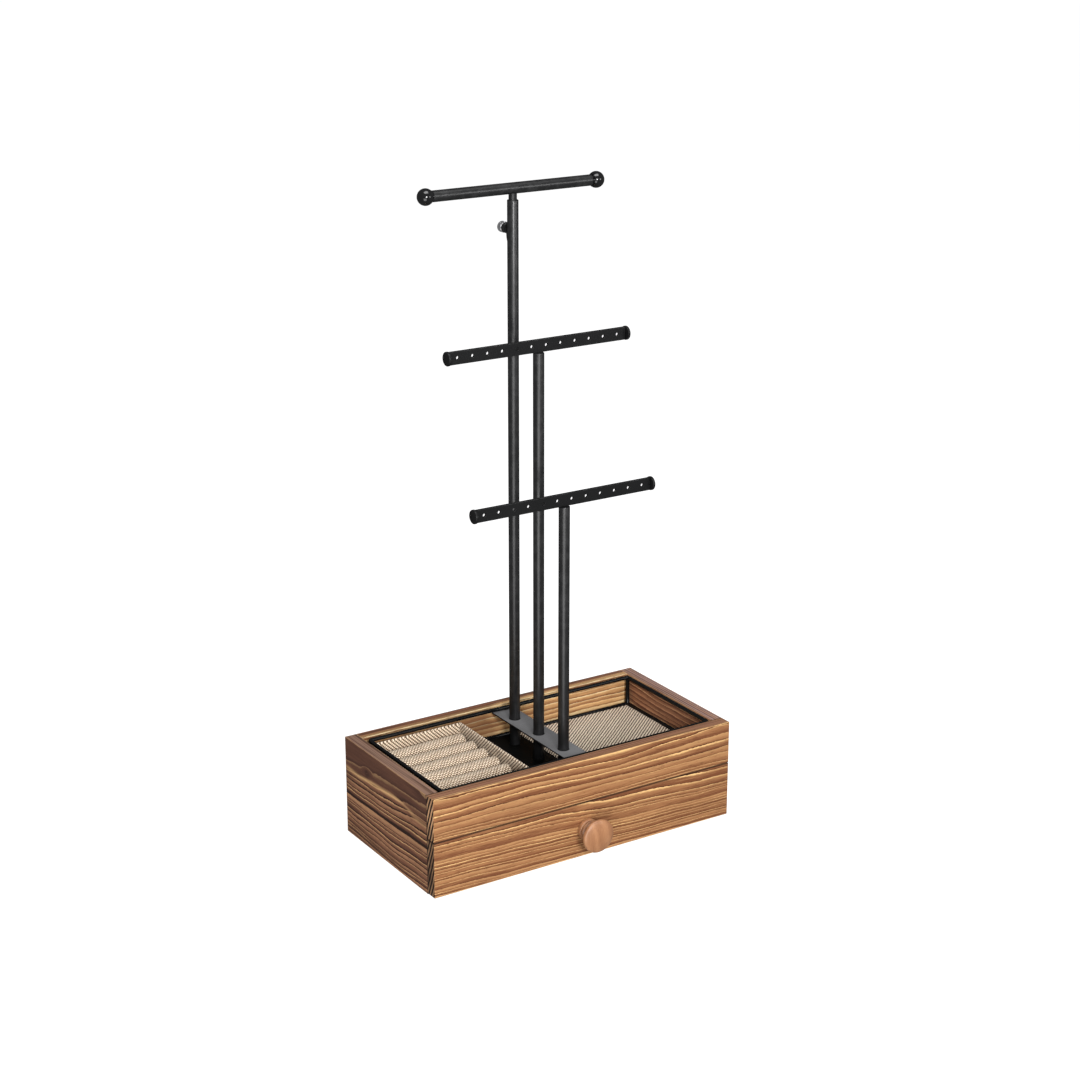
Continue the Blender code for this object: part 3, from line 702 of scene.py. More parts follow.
def board_arrises(box):
    """Gives the strength of each board's arrises: golden where the brush rubbed them and where a
    painted highlight lies on the edges that catch the light, below 0 dark as painted shade along a
    joint."""
    near = 0.0012
    left, back = box["side_board_left"], box["back_board"]

    def front(low, high, shaded_split_z):
        def strength(p):
            # painted shade along the split between the rail and the drawer front
            if abs(p.z - shaded_split_z) < 0.0007:
                return -0.9
            if min(p.x - low.x, high.x - p.x) < 0.0008:
                return 0.0
            # front arrises: brushed wear and a painted highlight where the light catches them
            return 0.9 if p.y < low.y + near else 0.25
        return strength

    def side(p):
        # the side board's front arris meets the rail: painted shade along the joint; its lower
        # arrises: wear and a painted highlight
        if p.y < left[0].y + near:
            return -0.9
        return 0.7 if p.z < left[0].z + near else 0.35

    def behind(p):
        return 0.9 if p.z > back[1].z - near and p.y < back[0].y + near else 0.2

    rail, drawer = box["front_rail"], box["drawer_front"]
    return {"front_rail": front(*rail, rail[0].z), "drawer_front": front(*drawer, drawer[1].z),
            "side_board_left": side, "side_board_right": side, "back_board": behind}


def wood_box():
    box = {node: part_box(node) for node in ("front_rail", "drawer_front", "side_board_left",
                                           "side_board_right", "back_board")}
    rail, drawer, left, right, back = (low for low, high in box.values())
    top = box["front_rail"][1].z
    back_middle = (back.y + box["back_board"][1].y) / 2
    drawer_top = box["drawer_front"][1].z
    wood = {
        "front_rail": pine("pine_rail", "X", (rail.y + 0.085, top + 0.027), 0.0024,
                           FRONT_BROWNS, 6.2, torch=0.15, scorch=1.25),
        "drawer_front": pine("pine_drawer", "X", (drawer.y + 0.080, drawer_top + 0.034), 0.0021,
                             FRONT_BROWNS, 9.4, torch=0.15, lean=-0.02, scorch=1.2,
                             end_dark=0.55),
        "side_board_left": pine("pine_left", "Y", (left.x + 0.050, top - 0.006), 0.0031,
                                SIDE_BROWNS, 5.0, bend=1.9, torch=0.40, scorch=1.9,
                                seam_width=0.32, smoke=(0.058, 0.072),
                                knots=[(0.038, left.x, 0.071, 0.0022)]),
        "side_board_right": pine("pine_right", "Y", (right.x - 0.055, top - 0.045), 0.0023,
                                 RIGHT_BROWNS, 12.0, bend=1.2, torch=0.3),
        "back_board": pine("pine_back", "X", (back.y - 0.070, top + 0.030), 0.0026, BACK_BROWNS,
                           17.0, torch=0.35, rim=0.75, rim_split=back_middle,
                           shade=(-0.012, 0.006), knots=[(-0.006, back.y + 0.006, top, 0.0020)]),
    }
    arrises = board_arrises(box)
    for node, (low, high) in box.items():
        board = rounded_box(node + "_wood", low, high, 0.0003, inner=0.02, arris=arrises[node])
        placed(board, node, wood[node])


def drawer_box():
    """The drawer's plywood, and the two thin boards that are hidden in the box."""
    side = plywood("drawer_side_ply", "Y", "X")
    end = plywood("drawer_back_ply", "X", "Y")
    flat = plywood("drawer_floor_ply", "X", "Z")
    for node, wood in (("drawer_side_left", side), ("drawer_side_right", side),
                       ("drawer_back", end), ("drawer_bottom", flat),
                       ("mid_floor", flat), ("bottom_panel", flat)):
        low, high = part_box(node)
        board = rounded_box(node + "_board", low, high, 0.0004)
        if node == "mid_floor":
            drilled(board, [(p.x, p.y, low.z) for p in post_points()], UP, SCREW_BORE, 0.012,
                    0.0001, steps=24)
        placed(board, node, wood)


def knob():
    """The turned knob: a domed head, a waist with a groove, and a foot on the drawer front."""
    low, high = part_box("drawer_knob")
    centre = Vector(((low.x + high.x) / 2, high.y, (low.z + high.z) / 2))
    r = (high.x - low.x) / 2
    proud = high.y - low.y
    s = proud / 0.0214        # the distances below were chosen for a knob 21.4 mm high
    dome = math.radians(24)
    outline = [(0.0, proud)]
    for degrees in range(4, 25, 4):
        turn = math.radians(degrees)
        outline.append((r * 0.90 * math.sin(turn) / math.sin(dome),
                        proud - 0.0022 * s * (1 - math.cos(turn)) / (1 - math.cos(dome))))
    outline += arc(r - 0.0021, 0.0171 * s, 0.0021, 62, -62, 12)
    outline += [(r - 0.0022, 0.0143 * s), (r - 0.0036, 0.0128 * s), (r - 0.0052, 0.0115 * s),
                (r - 0.0066, 0.0102 * s), (0.0076, 0.0092 * s), (0.0074, 0.0084 * s),
                (0.0077, 0.0076 * s), (0.0083, 0.0070 * s)]
    outline += arc(0.0082, 0.0058 * s, 0.0011, 75, -75, 6)
    outline += [(0.0079, 0.0045 * s), (0.0080, 0.0041 * s)]
    outline += arc(0.0084, 0.0027 * s, 0.0013, 80, 0, 5)
    outline += [(0.0097, 0.0011 * s), (0.0096, 0.0002), (0.0093, 0.0)]
    outline += [(SCREW_BORE, 0.0), (SCREW_BORE, 0.012), (0.0, 0.012)]
    # the groove and the neck are marked for painted shade
    wear_and_painted_light = []
    for radius, distance in outline:
        groove = abs(distance - 0.0043 * s) < 0.0007 and radius < 0.0086
        neck = abs(distance - 0.0084 * s) < 0.0012 and radius < 0.0082
        wear_and_painted_light.append(1.0 if groove else 0.55 if neck else 0.0)
    obj = turned("knob_turned", outline, centre, (0, -1, 0), 96, wear_and_painted_light, cut_angle=60)
    placed(obj, "drawer_knob", knob_wood())


# ---------------------------------------------------------------- metal

def post_points():
    """The feet of the three posts, at rest."""
    return [foot_of(node) for node in ("post_back", "post_middle", "post_front")]


def wire_loop(name, corners, radius, bend, steps=20):
    """A closed loop of round wire through level corners, bent round at each of them."""
    path = []
    for i, corner in enumerate(corners):
        into = (corners[i - 1] - corner).normalized()
        out = (corners[(i + 1) % len(corners)] - corner).normalized()
        middle = corner + (into + out) * bend
        for k in range(7):
            turn = math.pi / 2 * k / 6
            path.append(middle - out * bend * math.cos(turn) - into * bend * math.sin(turn))
    points, faces = [], []
    total = len(path)
    for i, here in enumerate(path):
        ahead = (path[(i + 1) % total] - path[i - 1]).normalized()
        side = ahead.cross(Vector(UP))
        for k in range(steps):
            turn = TURN * k / steps
            points.append(here + side * radius * math.cos(turn)
                          + Vector((0.0, 0.0, radius * math.sin(turn))))
            a, b, m = i * steps, (i + 1) % total * steps, (k + 1) % steps
            faces.append((a + k, b + k, b + m, a + m))
    mesh = mesh_from(name, points, faces)
    shade_smooth(mesh)
    return new_object(name, mesh)


def frame_wires(black):
    """Two bent wire loops and four uprights with small weld beads at their ends."""
    for level in ("top", "bottom"):
        sides = [f"{level}_rail_{side}" for side in ("front", "back", "left", "right")]
        low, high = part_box(sides[0])
        front, back, left, right = (centre_of(node) for node in sides)
        corners = [Vector((x, y, front.z)) for x, y in ((left.x, front.y), (right.x, front.y),
                                                        (right.x, back.y), (left.x, back.y))]
        loop = wire_loop(f"{level}_wire_loop", corners, (high.z - low.z) / 2, 0.0022)
        placed(loop, sides[0], black, sides[1:])
    for node in frame["nodes"]:
        if not node.startswith("corner_bar"):
            continue
        low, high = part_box(node)
        radius = (high.x - low.x) / 2
        length = high.z - low.z
        bead = 0.0004
        outline = [(0.0, length), (radius + bead, length)]
        outline += arc(radius, length - 0.0008, bead, 60, -60, 4)
        outline += [(radius, length - 0.0014), (radius, 0.0014)]
        outline += arc(radius, 0.0008, bead, 60, -60, 4) + [(radius + bead, 0.0), (0.0, 0.0)]
        placed(turned(node + "_wire", outline, foot_of(node), UP, 24, cut_angle=60), node, black)


def plates(plate_black, gloss):
    """The plate that the posts pass through, and the one that they stand on."""
    shift_left, shift_right = 0.0023, 0.0013
    for node, coat, hole, chamfer, steps in (
            ("post_plate", plate_black, 0.00505, 0.0002, 64),
            ("base_plate", gloss, SCREW_BORE, 0.0001, 24)):
        low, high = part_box(node)
        if node == "post_plate":
            # its near edge is set in, so that the linen under it shows through the gap
            low.x, high.x = low.x + shift_left, high.x + shift_right
        sheet = rounded_box(node + "_sheet", low, high, 0.0004)
        centres = [(p.x, p.y, (low.z + high.z) / 2) for p in post_points()]
        drilled(sheet, centres, UP, hole, high.z - low.z, chamfer, steps)
        placed(sheet, node, coat)


def posts(black):
    """Three tubes with rounded ends and a screw hole in the foot; the back one is open above,
    and the thumb screw's hole goes through its wall."""
    for node in ("post_middle", "post_front", "post_back"):
        low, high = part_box(node)
        r = (high.x - low.x) / 2
        length = high.z - low.z
        foot = foot_of(node)
        hollow = node == "post_back"
        bore = ROD_BORE if hollow else 0.0
        mouth = [(bore, length - 0.0003), (bore + 0.0002, length)] if hollow else [(0.0, length)]
        outline = mouth + arc(r - 0.0004, length - 0.0004, 0.0004, 90, 0, 3 if hollow else 4)
        outline += arc(r - 0.0003, 0.0003, 0.0003, 0, -90, 3)
        outline += [(SCREW_BORE, 0.0), (SCREW_BORE, 0.015), (bore, 0.015)]
        wear_and_painted_light = [0.6 if hollow else 0.0] + [1.0] * 5 + [0.4] * 4 + [0.0] * 3
        tube = turned(node + "_tube", outline, foot, UP, 64, wear_and_painted_light, closed=hollow)
        if hollow:
            hole = (foot.x, foot.y + r, centre_of("lock_boss").z)
            drilled(tube, [hole], BACKWARD, SCREW_BORE, r, 0.0, steps=24)
        placed(tube, node, black)


def machine_screw(name, node, along, steel):
    """A pan-head screw with a cross recess and a shank with fine thread rings."""
    low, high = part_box(node)
    axis = Vector(along)
    k = max(range(3), key=lambda i: abs(axis[i]))
    length = high[k] - low[k]
    origin = (low + high) / 2 - axis * (length / 2)
    head, thick, shank = 0.004, 0.0022, 0.0018
    outline = [(0.0, length), (head * 0.55, length - 0.00012), (head * 0.8, length - 0.0005)]
    outline += arc(head - 0.0007, length - 0.0014, 0.0007, 50, -10, 4)
    outline += [(head - 0.0001, length - thick), (shank, length - thick)]
    outline += thread(shank, length - thick - 0.0015, 0.0012, 0.00028)
    outline += [(shank - 0.0003, 0.0006), (shank - 0.0009, 0.0), (0.0, 0.0)]
    obj = turned(name, outline, origin, axis, 40, cut_angle=40)
    turn = axis.to_track_quat("Z", "Y").to_matrix().to_4x4()
    recess = bmesh.new()
    for spin in (0.0, math.pi / 2):
        place = (Matrix.Translation(origin + axis * length) @ turn
                 @ Matrix.Rotation(spin, 4, "Z") @ Matrix.Diagonal((0.0042, 0.0007, 0.0022, 1.0)))
        bmesh.ops.create_cube(recess, size=1.0, matrix=place)
    combined(obj, recess, "DIFFERENCE", 35, use_self=True)
    placed(obj, node, steel)


def bar_cap(node, sign, black):
    """A domed disc on the end of an earring bar."""
    low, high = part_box(node)
    thick = high.x - low.x
    r = (high.z - low.z) / 2
    origin = Vector((high.x if sign < 0 else low.x, (low.y + high.y) / 2, (low.z + high.z) / 2))
    dome = 0.0005
    outline = [(0.0, thick), (r * 0.3, thick - dome * 0.09), (r * 0.6, thick - dome * 0.36)]
    outline += arc(r - 0.0009, thick - dome - 0.0006, 0.0009, 62, 0, 6)
    outline += arc(r - 0.0004, 0.0004, 0.0004, 0, -90, 4) + [(0.0, 0.0)]
    wear_and_painted_light = [0.0] * 3 + [0.4] * 7 + [0.3] * 5 + [0.0]
    placed(turned(node + "_disc", outline, origin, (sign, 0, 0), 64, wear_and_painted_light), node, black)


def earring_bars(black):
    """Flat bars with a row of small holes, and a cap on each end."""
    pitch, count, hole, chamfer = 0.01413, 12, 0.0014, 0.00025
    for place in ("middle", "front"):
        node = "earring_bar_" + place
        low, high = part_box(node)
        strip = rounded_box(node + "_strip", low, high, 0.0005)
        middle = (low + high) / 2
        centres = [(middle.x + (i - (count - 1) / 2) * pitch, middle.y, middle.z)
                   for i in range(count)]
        drilled(strip, centres, BACKWARD, hole, high.y - low.y, chamfer)
        placed(strip, node, black)
        for side, sign in (("left", -1), ("right", 1)):
            bar_cap(f"bar_cap_{place}_{side}", sign, black)


def mast(black, gloss):
    """The necklace bar with its two balls, and the rod that carries it."""
    low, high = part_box("crossbar")
    r = (high.z - low.z) / 2
    half = (high.x - low.x) / 2
    edge = 0.0003
    outline = [(0.0, half), (r - edge, half), (r, half - edge), (r, -half + edge),
               (r - edge, -half), (0.0, -half)]
    bar = turned("crossbar_tube", outline, (low + high) / 2, (1, 0, 0), 64, [0, 1, 1, 1, 1, 0])
    placed(bar, "crossbar", black)
    for side, sign in (("left", -1), ("right", 1)):
        node = "ball_end_" + side
        low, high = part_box(node)
        ball = (high.z - low.z) / 2
        centre = Vector((high.x - ball if sign > 0 else low.x + ball,
                         (low.y + high.y) / 2, (low.z + high.z) / 2))
        flat = -(high.x - low.x - ball)
        neck = 0.0049
        end = math.degrees(math.asin((flat + 0.0009) / ball))
        outline = [(0.0, ball)] + arc(0.0, 0.0, ball, 90, end, 22)[1:]
        outline += [(neck - 0.0004, flat + 0.0009), (neck - 0.0004, flat + 0.0007),
                    (neck, flat + 0.0005), (neck, flat + 0.0001), (neck - 0.0002, flat),
                    (0.0, flat)]
        placed(turned(node + "_ball", outline, centre, (sign, 0, 0), 64), node, gloss)
    low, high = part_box("mast_rod")
    r = (high.x - low.x) / 2
    # the rod's box reaches up round the crossbar; its own top ends just inside the bar
    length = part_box("crossbar")[0].z + 0.0008 - low.z
    groove, groove_top, groove_foot = 0.0026, 0.0095, 0.0015
    outline = [(0.0, length), (r, length), (r, groove_top), (groove, groove_top),
               (groove, groove_foot), (r, groove_foot), (r, edge), (r - edge, 0.0), (0.0, 0.0)]
    rod = turned("mast_rod_bar", outline, foot_of("mast_rod"), UP, 64)
    placed(rod, "mast_rod", black)


def lock_boss(black):
    """The boss for the thumb screw, with a teardrop fairing that runs down the tube."""
    low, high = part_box("lock_boss")
    post = centre_of("post_back")
    origin = Vector(((low.x + high.x) / 2, post.y, (low.z + high.z) / 2))
    far = high.y - post.y
    r = (high.x - low.x) / 2
    near = 0.0040
    outline = [(SCREW_BORE, far), (r - 0.0004, far)]
    outline += arc(r - 0.0004, far - 0.0004, 0.0004, 90, 0, 3)
    for inset, drop in ((0.0, 0.0023), (0.0002, 0.0027), (0.0007, 0.0032), (0.0008, 0.0042),
                        (0.0007, 0.0050), (0.0004, 0.0059), (0.0001, 0.0070)):
        outline.append((r - inset, far - drop))
    outline += [(r, near), (SCREW_BORE, near)]
    boss = turned("lock_boss_collar", outline, origin, BACKWARD, 64, closed=True, cut_angle=50)
    drop = bmesh.new()
    bmesh.ops.create_uvsphere(drop, u_segments=48, v_segments=32, radius=1.0,
                              matrix=Matrix.Translation(origin + Vector((0.0, near, -0.0035)))
                              @ Matrix.Diagonal((0.0034, 0.0034, 0.0110, 1.0)))
    combined(boss, drop, "UNION", 50)
    drilled(boss, [(origin.x, origin.y + 0.012, origin.z)], BACKWARD, SCREW_BORE, 0.03, 0.0,
            steps=64)
    # the boss is saddled round the tube
    saddle = bmesh.new()
    bmesh.ops.create_cone(saddle, cap_ends=True, segments=96, radius1=0.0051, radius2=0.0051,
                          depth=0.03, matrix=Matrix.Translation(origin))
    combined(boss, saddle, "DIFFERENCE", 50)
    placed(boss, "lock_boss", black)


def thumb_screw(chrome):
    """A knurled head with a groove round it, on a threaded shank."""
    low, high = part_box("thumb_screw")
    boss = centre_of("lock_boss")
    length = high.y - low.y
    head = (high.x - low.x) / 2
    shank = 0.0017
    near = length - 0.0062    # the head's side that faces the boss
    teeth = 36

    def knurl(radius, distance, angle):
        if radius < head * 0.9 or distance < near:
            return radius
        return radius - 0.00032 * (0.5 - 0.5 * math.cos(teeth * angle)) ** 0.7

    outline = [(0.0, length - 0.0005), (head * 0.45, length - 0.0005), (head * 0.55, length),
               (head * 0.82, length), (head * 0.97, length - 0.0006), (head, length - 0.0009),
               (head, length - 0.0026), (head * 0.93, length - 0.0029),
               (head * 0.93, length - 0.0033), (head, length - 0.0036), (head, near + 0.0008),
               (head * 0.97, near + 0.0005), (head * 0.8, near), (shank, near)]
    outline += thread(shank, near - 0.0004, 0.0010, 0.00022)
    outline += [(shank - 0.0003, 0.0004), (shank - 0.0007, 0.0), (0.0, 0.0)]
    screw = turned("thumb_screw_knurled", outline, Vector((boss.x, low.y, boss.z)), BACKWARD,
                   teeth * 6, knurl=knurl, cut_angle=40)
    placed(screw, "thumb_screw", chrome)


# ---------------------------------------------------------------- linen

def set_flat(mesh, where):
    """Stores each vertex's place in the flat cloth, for the weave."""
    values = np.array([where(v.co) for v in mesh.vertices], np.float32).reshape(-1)
    mesh.attributes.new("flat", "FLOAT_VECTOR", "POINT").data.foreach_set("vector", values)


def tray_section(bottom, top):
    """The tray's section from its underside over the soft rim to its floor, as rows of
    (distance in from the outside, corner radius, height)."""
    wall = 0.003
    rows = [(0.0012, 0.0012, bottom), (0.0003, 0.0016, bottom + 0.0006),
            (0.0, 0.0018, bottom + 0.002)]
    for i in range(1, 9):
        hollow = 0.00012 * math.sin(math.pi * i / 9)
        rows.append((hollow, 0.0018, bottom + 0.002 + (top - bottom - 0.004) * i / 9))
    for inset, corner, drop in ((0.0, 0.0018, 0.0017), (0.0002, 0.0017, 0.0008),
                                (0.0007, 0.0014, 0.0002), (0.0015, 0.0011, 0.0),
                                (0.0023, 0.0008, 0.0002), (0.0028, 0.0006, 0.0008),
                                (wall, 0.0005, 0.0016)):
        rows.append((inset, corner, top - drop))
    for i in range(1, 7):
        rows.append((wall, 0.0005, top - 0.0016 - (top - bottom - wall - 0.0020) * i / 6))
    return rows + [(wall + 0.0004, 0.0004, bottom + wall)]


def ring_tray(cloth):
    """The linen-covered tray: walls with soft rims and slightly hollow sides, and a floor."""
    low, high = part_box("ring_tray")
    high.y, high.z = high.y + 0.0005, high.z + 0.0010    # the cloth stands a little proud

    def loop(inset, radius, z, count=6, side_steps=40):
        """A rectangle with round corners, as points in order."""
        x0, y0 = low.x + inset + radius, low.y + inset + radius
        x1, y1 = high.x - inset - radius, high.y - inset - radius
        corners = ((x1, y0, -90), (x1, y1, 0), (x0, y1, 90), (x0, y0, 180))

        def on_corner(corner, degrees):
            turn = math.radians(corner[2] + degrees)
            return Vector((corner[0] + radius * math.cos(turn),
                           corner[1] + radius * math.sin(turn), z))

        points = []
        for k, corner in enumerate(corners):
            points += [on_corner(corner, 90 * i / count) for i in range(count + 1)]
            last, following = points[-1], on_corner(corners[(k + 1) % 4], 0)
            points += [last.lerp(following, i / side_steps) for i in range(1, side_steps)]
        return points

    solid = bmesh.new()
    rings = [[solid.verts.new(p) for p in loop(*row)] for row in tray_section(low.z, high.z)]
    bridge(solid, rings)
    bmesh.ops.recalc_face_normals(solid, faces=solid.faces)
    # a little unevenness, as cloth glued over board has
    for v in solid.verts:
        amount = 0.00012 * noise.noise(v.co * 160.0)
        v.co.z += amount if v.co.z > low.z + 0.004 else 0.0
    mesh = mesh_of("ring_tray_linen", solid)
    shade_smooth(mesh, 70)

    def flat(co):
        dx = min(abs(co.x - low.x), abs(co.x - high.x))
        dy = min(abs(co.y - low.y), abs(co.y - high.y))
        return (co.y if dx < dy else co.x, co.z + min(dx, dy), 0.0)

    set_flat(mesh, flat)
    placed(new_object("ring_tray_linen", mesh), "ring_tray", cloth)


def swell(obj, pressure, cap, frames=20):
    """Blows a closed padded shape up with Blender's cloth, and keeps each point's move short."""
    rest = np.array([v.co for v in obj.data.vertices], float).reshape(-1, 3)
    step = obj.modifiers.new("cloth", "CLOTH")
    for key, value in (("quality", 6), ("use_pressure", True),
                       ("uniform_pressure_force", pressure), ("tension_stiffness", 30),
                       ("compression_stiffness", 30), ("shear_stiffness", 20),
                       ("bending_stiffness", 2)):
        setattr(step.settings, key, value)
    step.settings.effector_weights.gravity = 0.0
    step.collision_settings.use_collision = False
    step.point_cache.frame_start = 1
    step.point_cache.frame_end = frames
    scene = bpy.context.scene
    for number in range(1, frames + 1):
        scene.frame_set(number)
    apply_modifiers(obj)
    scene.frame_set(1)
    move = np.array([v.co for v in obj.data.vertices], float).reshape(-1, 3) - rest
    length = np.maximum(np.linalg.norm(move, axis=1, keepdims=True), 1e-12)
    now = rest + move * np.minimum(1.0, cap / length)
    obj.data.vertices.foreach_set("co", now.astype(np.float32).reshape(-1))
    obj.data.update()


def roll_section(r, foot, crown, around=20, side_rows=3):
    """A roll's section: two upright sides with a half-round top between them."""
    sides = [foot + (crown - foot) * k / side_rows for k in range(side_rows)]
    turns = [math.pi * k / around for k in range(around + 1)]
    return ([(r, z) for z in sides]
            + [(r * math.cos(turn), crown + r * math.sin(turn)) for turn in turns]
            + [(-r, z) for z in reversed(sides)])


def ring_rolls(cloth):
    """Six padded rolls: foam rods under one piece of linen that is stitched down between them."""
    shrink = 0.0004           # each roll starts smaller, because it swells
    end = 0.0012              # length of the rounding at a roll's ends
    steps = 84
    for number in range(1, 7):
        node = f"ring_roll_{number}"
        low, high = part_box(node)
        half = (high.y - low.y) / 2
        centre_y = (low.y + high.y) / 2
        r = half - shrink
        crown = high.z - shrink - r
        foot = low.z + shrink
        section = roll_section(r, foot, crown)
        solid = bmesh.new()
        rings = []
        for s in range(steps + 1):
            x = low.x + (high.x - low.x) * s / steps
            near = min(1.0, min(x - low.x, high.x - x) / end)
            fold = math.sqrt(max(0.0, 1 - (1 - near) ** 2))
            ring = []
            for y, z in section:
                low_z = foot + (z - foot) * (0.95 + 0.05 * fold) if z > crown else z
                place = (x, centre_y + y * (0.92 + 0.08 * fold), min(low_z, z))
                ring.append(solid.verts.new(place))
            rings.append(ring)
        bridge(solid, rings, flip=True)
        bmesh.ops.recalc_face_normals(solid, faces=solid.faces)
        # foam is never quite even: slow lumps along the roll
        for v in solid.verts:
            if v.co.z > crown - r * 0.2:
                lump = noise.noise(Vector((v.co.x * 55.0, number * 9.1, v.co.y * 120.0)))
                v.co.z += 0.00022 * lump
                v.co.y += 0.00016 * noise.noise(Vector((v.co.x * 70.0, number * 3.3, 4.0)))
        obj = new_object(node + "_padded", mesh_of(node + "_padded", solid))
        swell(obj, 0.6, 0.00035)
        subdivide = obj.modifiers.new("smooth", "SUBSURF")
        subdivide.levels = subdivide.render_levels = 1
        apply_modifiers(obj)
        shade_smooth(obj.data, 80)

        def flat(co):
            dy, dz = co.y - centre_y, co.z - crown
            if dz >= 0:
                round_it = math.atan2(dy, dz + 1e-9) * half
            else:
                round_it = math.copysign(half * math.pi / 2 - dz, dy)
            return (co.x, round_it + number * 0.0316, 0.0)

        set_flat(obj.data, flat)
        placed(obj, node, cloth)


def laid_linen(node, name, cloth, lift, nx=120, ny=124):
    """A sheet of linen laid flat in its bay, a little wavy, with a folded edge."""
    low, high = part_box(node)
    solid = bmesh.new()

    def upper(x, y):
        border = min(x - low.x, high.x - x, y - low.y, high.y - y)
        roll = 0.0006 * (1 - min(1.0, border / 0.0012)) ** 2
        wave = 0.00035 * noise.noise(Vector((x * 38.0, y * 38.0, 7.0 + lift)))
        return high.z - 0.0004 + wave * min(1.0, border / 0.008) - roll

    def grid(height):
        rows = []
        for j in range(ny + 1):
            y = low.y + (high.y - low.y) * (j / ny)
            xs = [low.x + (high.x - low.x) * (i / nx) for i in range(nx + 1)]
            rows.append([solid.verts.new((x, y, height(x, y))) for x in xs])
        return rows

    def rim(rows):
        """A grid's border, once round."""
        return (rows[0][:-1] + [row[-1] for row in rows[:-1]] + rows[-1][:0:-1]
                + [row[0] for row in rows[:0:-1]])

    top, bottom = grid(upper), grid(lambda x, y: low.z)
    for j in range(ny):
        for i in range(nx):
            solid.faces.new((top[j][i], top[j][i + 1], top[j + 1][i + 1], top[j + 1][i]))
            solid.faces.new((bottom[j][i], bottom[j + 1][i], bottom[j + 1][i + 1],
                             bottom[j][i + 1]))
    rim_top, rim_bottom = rim(top), rim(bottom)
    for i in range(len(rim_top)):
        j = (i + 1) % len(rim_top)
        solid.faces.new((rim_top[i], rim_bottom[i], rim_bottom[j], rim_top[j]))
    mesh = mesh_of(name, solid)
    shade_smooth(mesh, 60)
    obj = new_object(name, mesh)
    set_flat(mesh, lambda co: (co.x, co.y, 0.0))
    placed(obj, node, cloth)


# ---------------------------------------------------------------- stage

def soft_light(name, azimuth, distance, height, target, size, power):
    """A rectangular softbox. It stands at an azimuth in degrees, 0 along +X and -90 in front."""
    data = bpy.data.lights.new(name, "AREA")
    data.shape = "RECTANGLE"
    data.size, data.size_y = size
    data.energy = power
    lamp = new_object(name, data)
    turn = math.radians(azimuth)
    lamp.location = (distance * math.cos(turn), distance * math.sin(turn), height)
    direction = Vector(target) - lamp.location
    lamp.rotation_euler = direction.to_track_quat("-Z", "Y").to_euler()
    lamp.visible_camera = False


def white_floor():
    """A bright backdrop that lights nothing and doesn't show in the black paint."""
    solid = bmesh.new()
    bmesh.ops.create_grid(solid, x_segments=8, y_segments=8, size=30.0)
    floor = new_object("floor", mesh_of("floor", solid))
    floor.location = (0.0, 0.0, -0.0002)
    n = Nodes("floor")
    tone = n.noise(n.coordinate, 3.0)
    n.finish(n.blend(tone, (0.34, 0.34, 0.34, 1.0), (0.36, 0.36, 0.36, 1.0)), 0.85,
             Emission_Color=(1.0, 1.0, 1.0, 1.0), Emission_Strength=0.92)
    floor.data.materials.append(n.material)
    floor.visible_diffuse = False
    floor.visible_glossy = False
    floor.visible_shadow = False


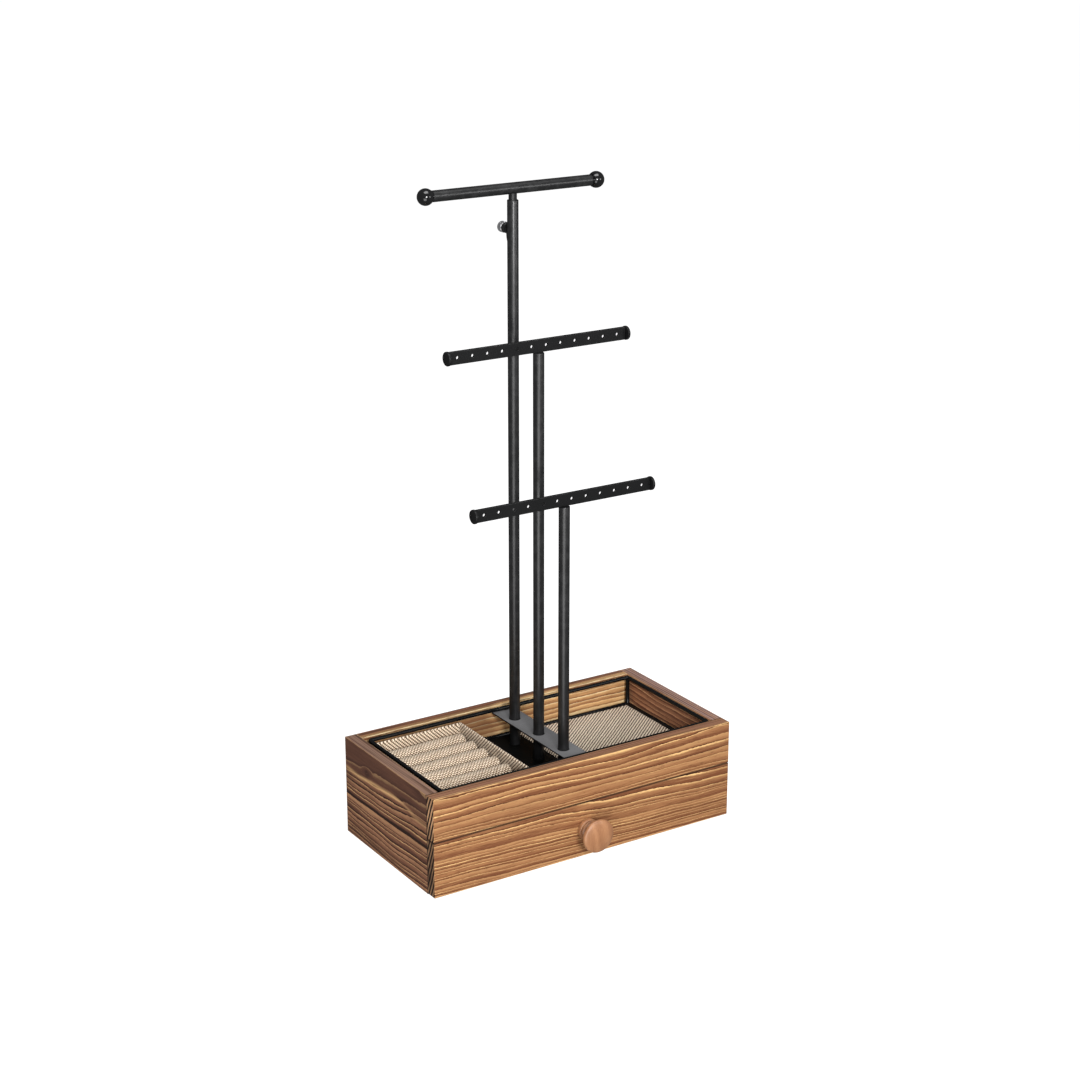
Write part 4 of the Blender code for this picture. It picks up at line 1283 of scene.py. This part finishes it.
def stage():
    """White floor, pale surroundings, soft lights and the camera."""
    scene = bpy.context.scene
    scene.view_settings.view_transform = "Standard"
    scene.view_settings.look = "None"
    scene.world = bpy.data.worlds.new("studio")
    scene.world.use_nodes = True
    background = scene.world.node_tree.nodes["Background"]
    background.inputs[0].default_value = (1.0, 1.0, 1.0, 1.0)
    background.inputs[1].default_value = 0.24
    white_floor()
    soft_light("key", -106.0, 2.3, 0.95, (0.0, 0.0, 0.25), (0.55, 0.55), 43.0)
    soft_light("low_left", -126.0, 1.35, -0.13, (0.0, 0.0, -0.13), (0.90, 0.90), 9.6)
    soft_light("low_right", -58.0, 1.7, 0.75, (0.0, 0.0, 0.45), (0.50, 0.40), 4.5)
    soft_light("top", -100.0, 0.5, 2.2, (0.0, 0.0, 0.05), (1.4, 1.0), 29.0)
    lens = bpy.data.cameras.new("camera")
    lens.sensor_width = 36.0
    lens.lens = 73.436
    lens.clip_start = 0.05
    lens.dof.use_dof = False
    camera = new_object("camera", lens)
    camera.location = (-0.9505, -1.4928, 0.8525)
    camera.rotation_euler = (math.radians(90 - 18.4155), 0.0, math.radians(-32.5227))
    scene.camera = camera


def main():
    black = powder_coat("black_powder_coat", (0.005, 0.0051, 0.0055), 0.34, 0.000006, 0.55)
    bar_black = powder_coat("black_bars", (0.004, 0.0041, 0.0044), 0.42, 0.00001, 0.26)
    wire_black = powder_coat("black_wire", (0.002, 0.0022, 0.0026), 0.24, 0.000004, 0.22)
    # the plate's grey colour is a painted reflection of the bright surroundings on its upward faces
    plate_black = powder_coat("black_plate", (0.130, 0.129, 0.132), 0.42, 0.00004, 0.5, True)
    base_black = powder_coat("gloss_black_base", (0.003, 0.003, 0.003), 0.40, 0.00001, 0.06)
    gloss = powder_coat("gloss_black", (0.004, 0.004, 0.0045), 0.10, 0.00001, 0.5)
    steel = metal("zinc_steel", (0.62, 0.62, 0.64), 0.26, 0.12)
    chrome = metal("chrome", (0.78, 0.78, 0.80), 0.10, 0.08)
    roll_cloth = linen("linen_rolls", 0.0023, 140, furrow=0.50, contrast=1.25, dark=0.08)
    wall_cloth = linen("linen_walls", 0.0025, 46, furrow=0.2)
    floor_cloth = linen("linen_floor", 0.0025, 130, furrow=0.15, contrast=2.7, dark=0.44)
    wood_box()
    drawer_box()
    knob()
    frame_wires(wire_black)
    plates(plate_black, base_black)
    posts(black)
    for name in ("back", "middle", "front"):
        machine_screw(f"post_screw_{name}_steel", f"post_screw_{name}", (0, 0, -1), steel)
    machine_screw("knob_screw_steel", "knob_screw", BACKWARD, steel)
    earring_bars(bar_black)
    mast(black, gloss)
    lock_boss(black)
    thumb_screw(chrome)
    ring_tray(wall_cloth)
    ring_rolls(roll_cloth)
    laid_linen("floor_liner", "floor_liner_linen", floor_cloth, 0.0)
    laid_linen("drawer_liner", "drawer_liner_linen", floor_cloth, 3.0)
    plastic = nylon()
    for node in ("mast_bush", "screw_pad"):
        cad = frame["nodes"][node]
        cad.data.materials.clear()
        cad.data.materials.append(plastic)
    stage()


main()
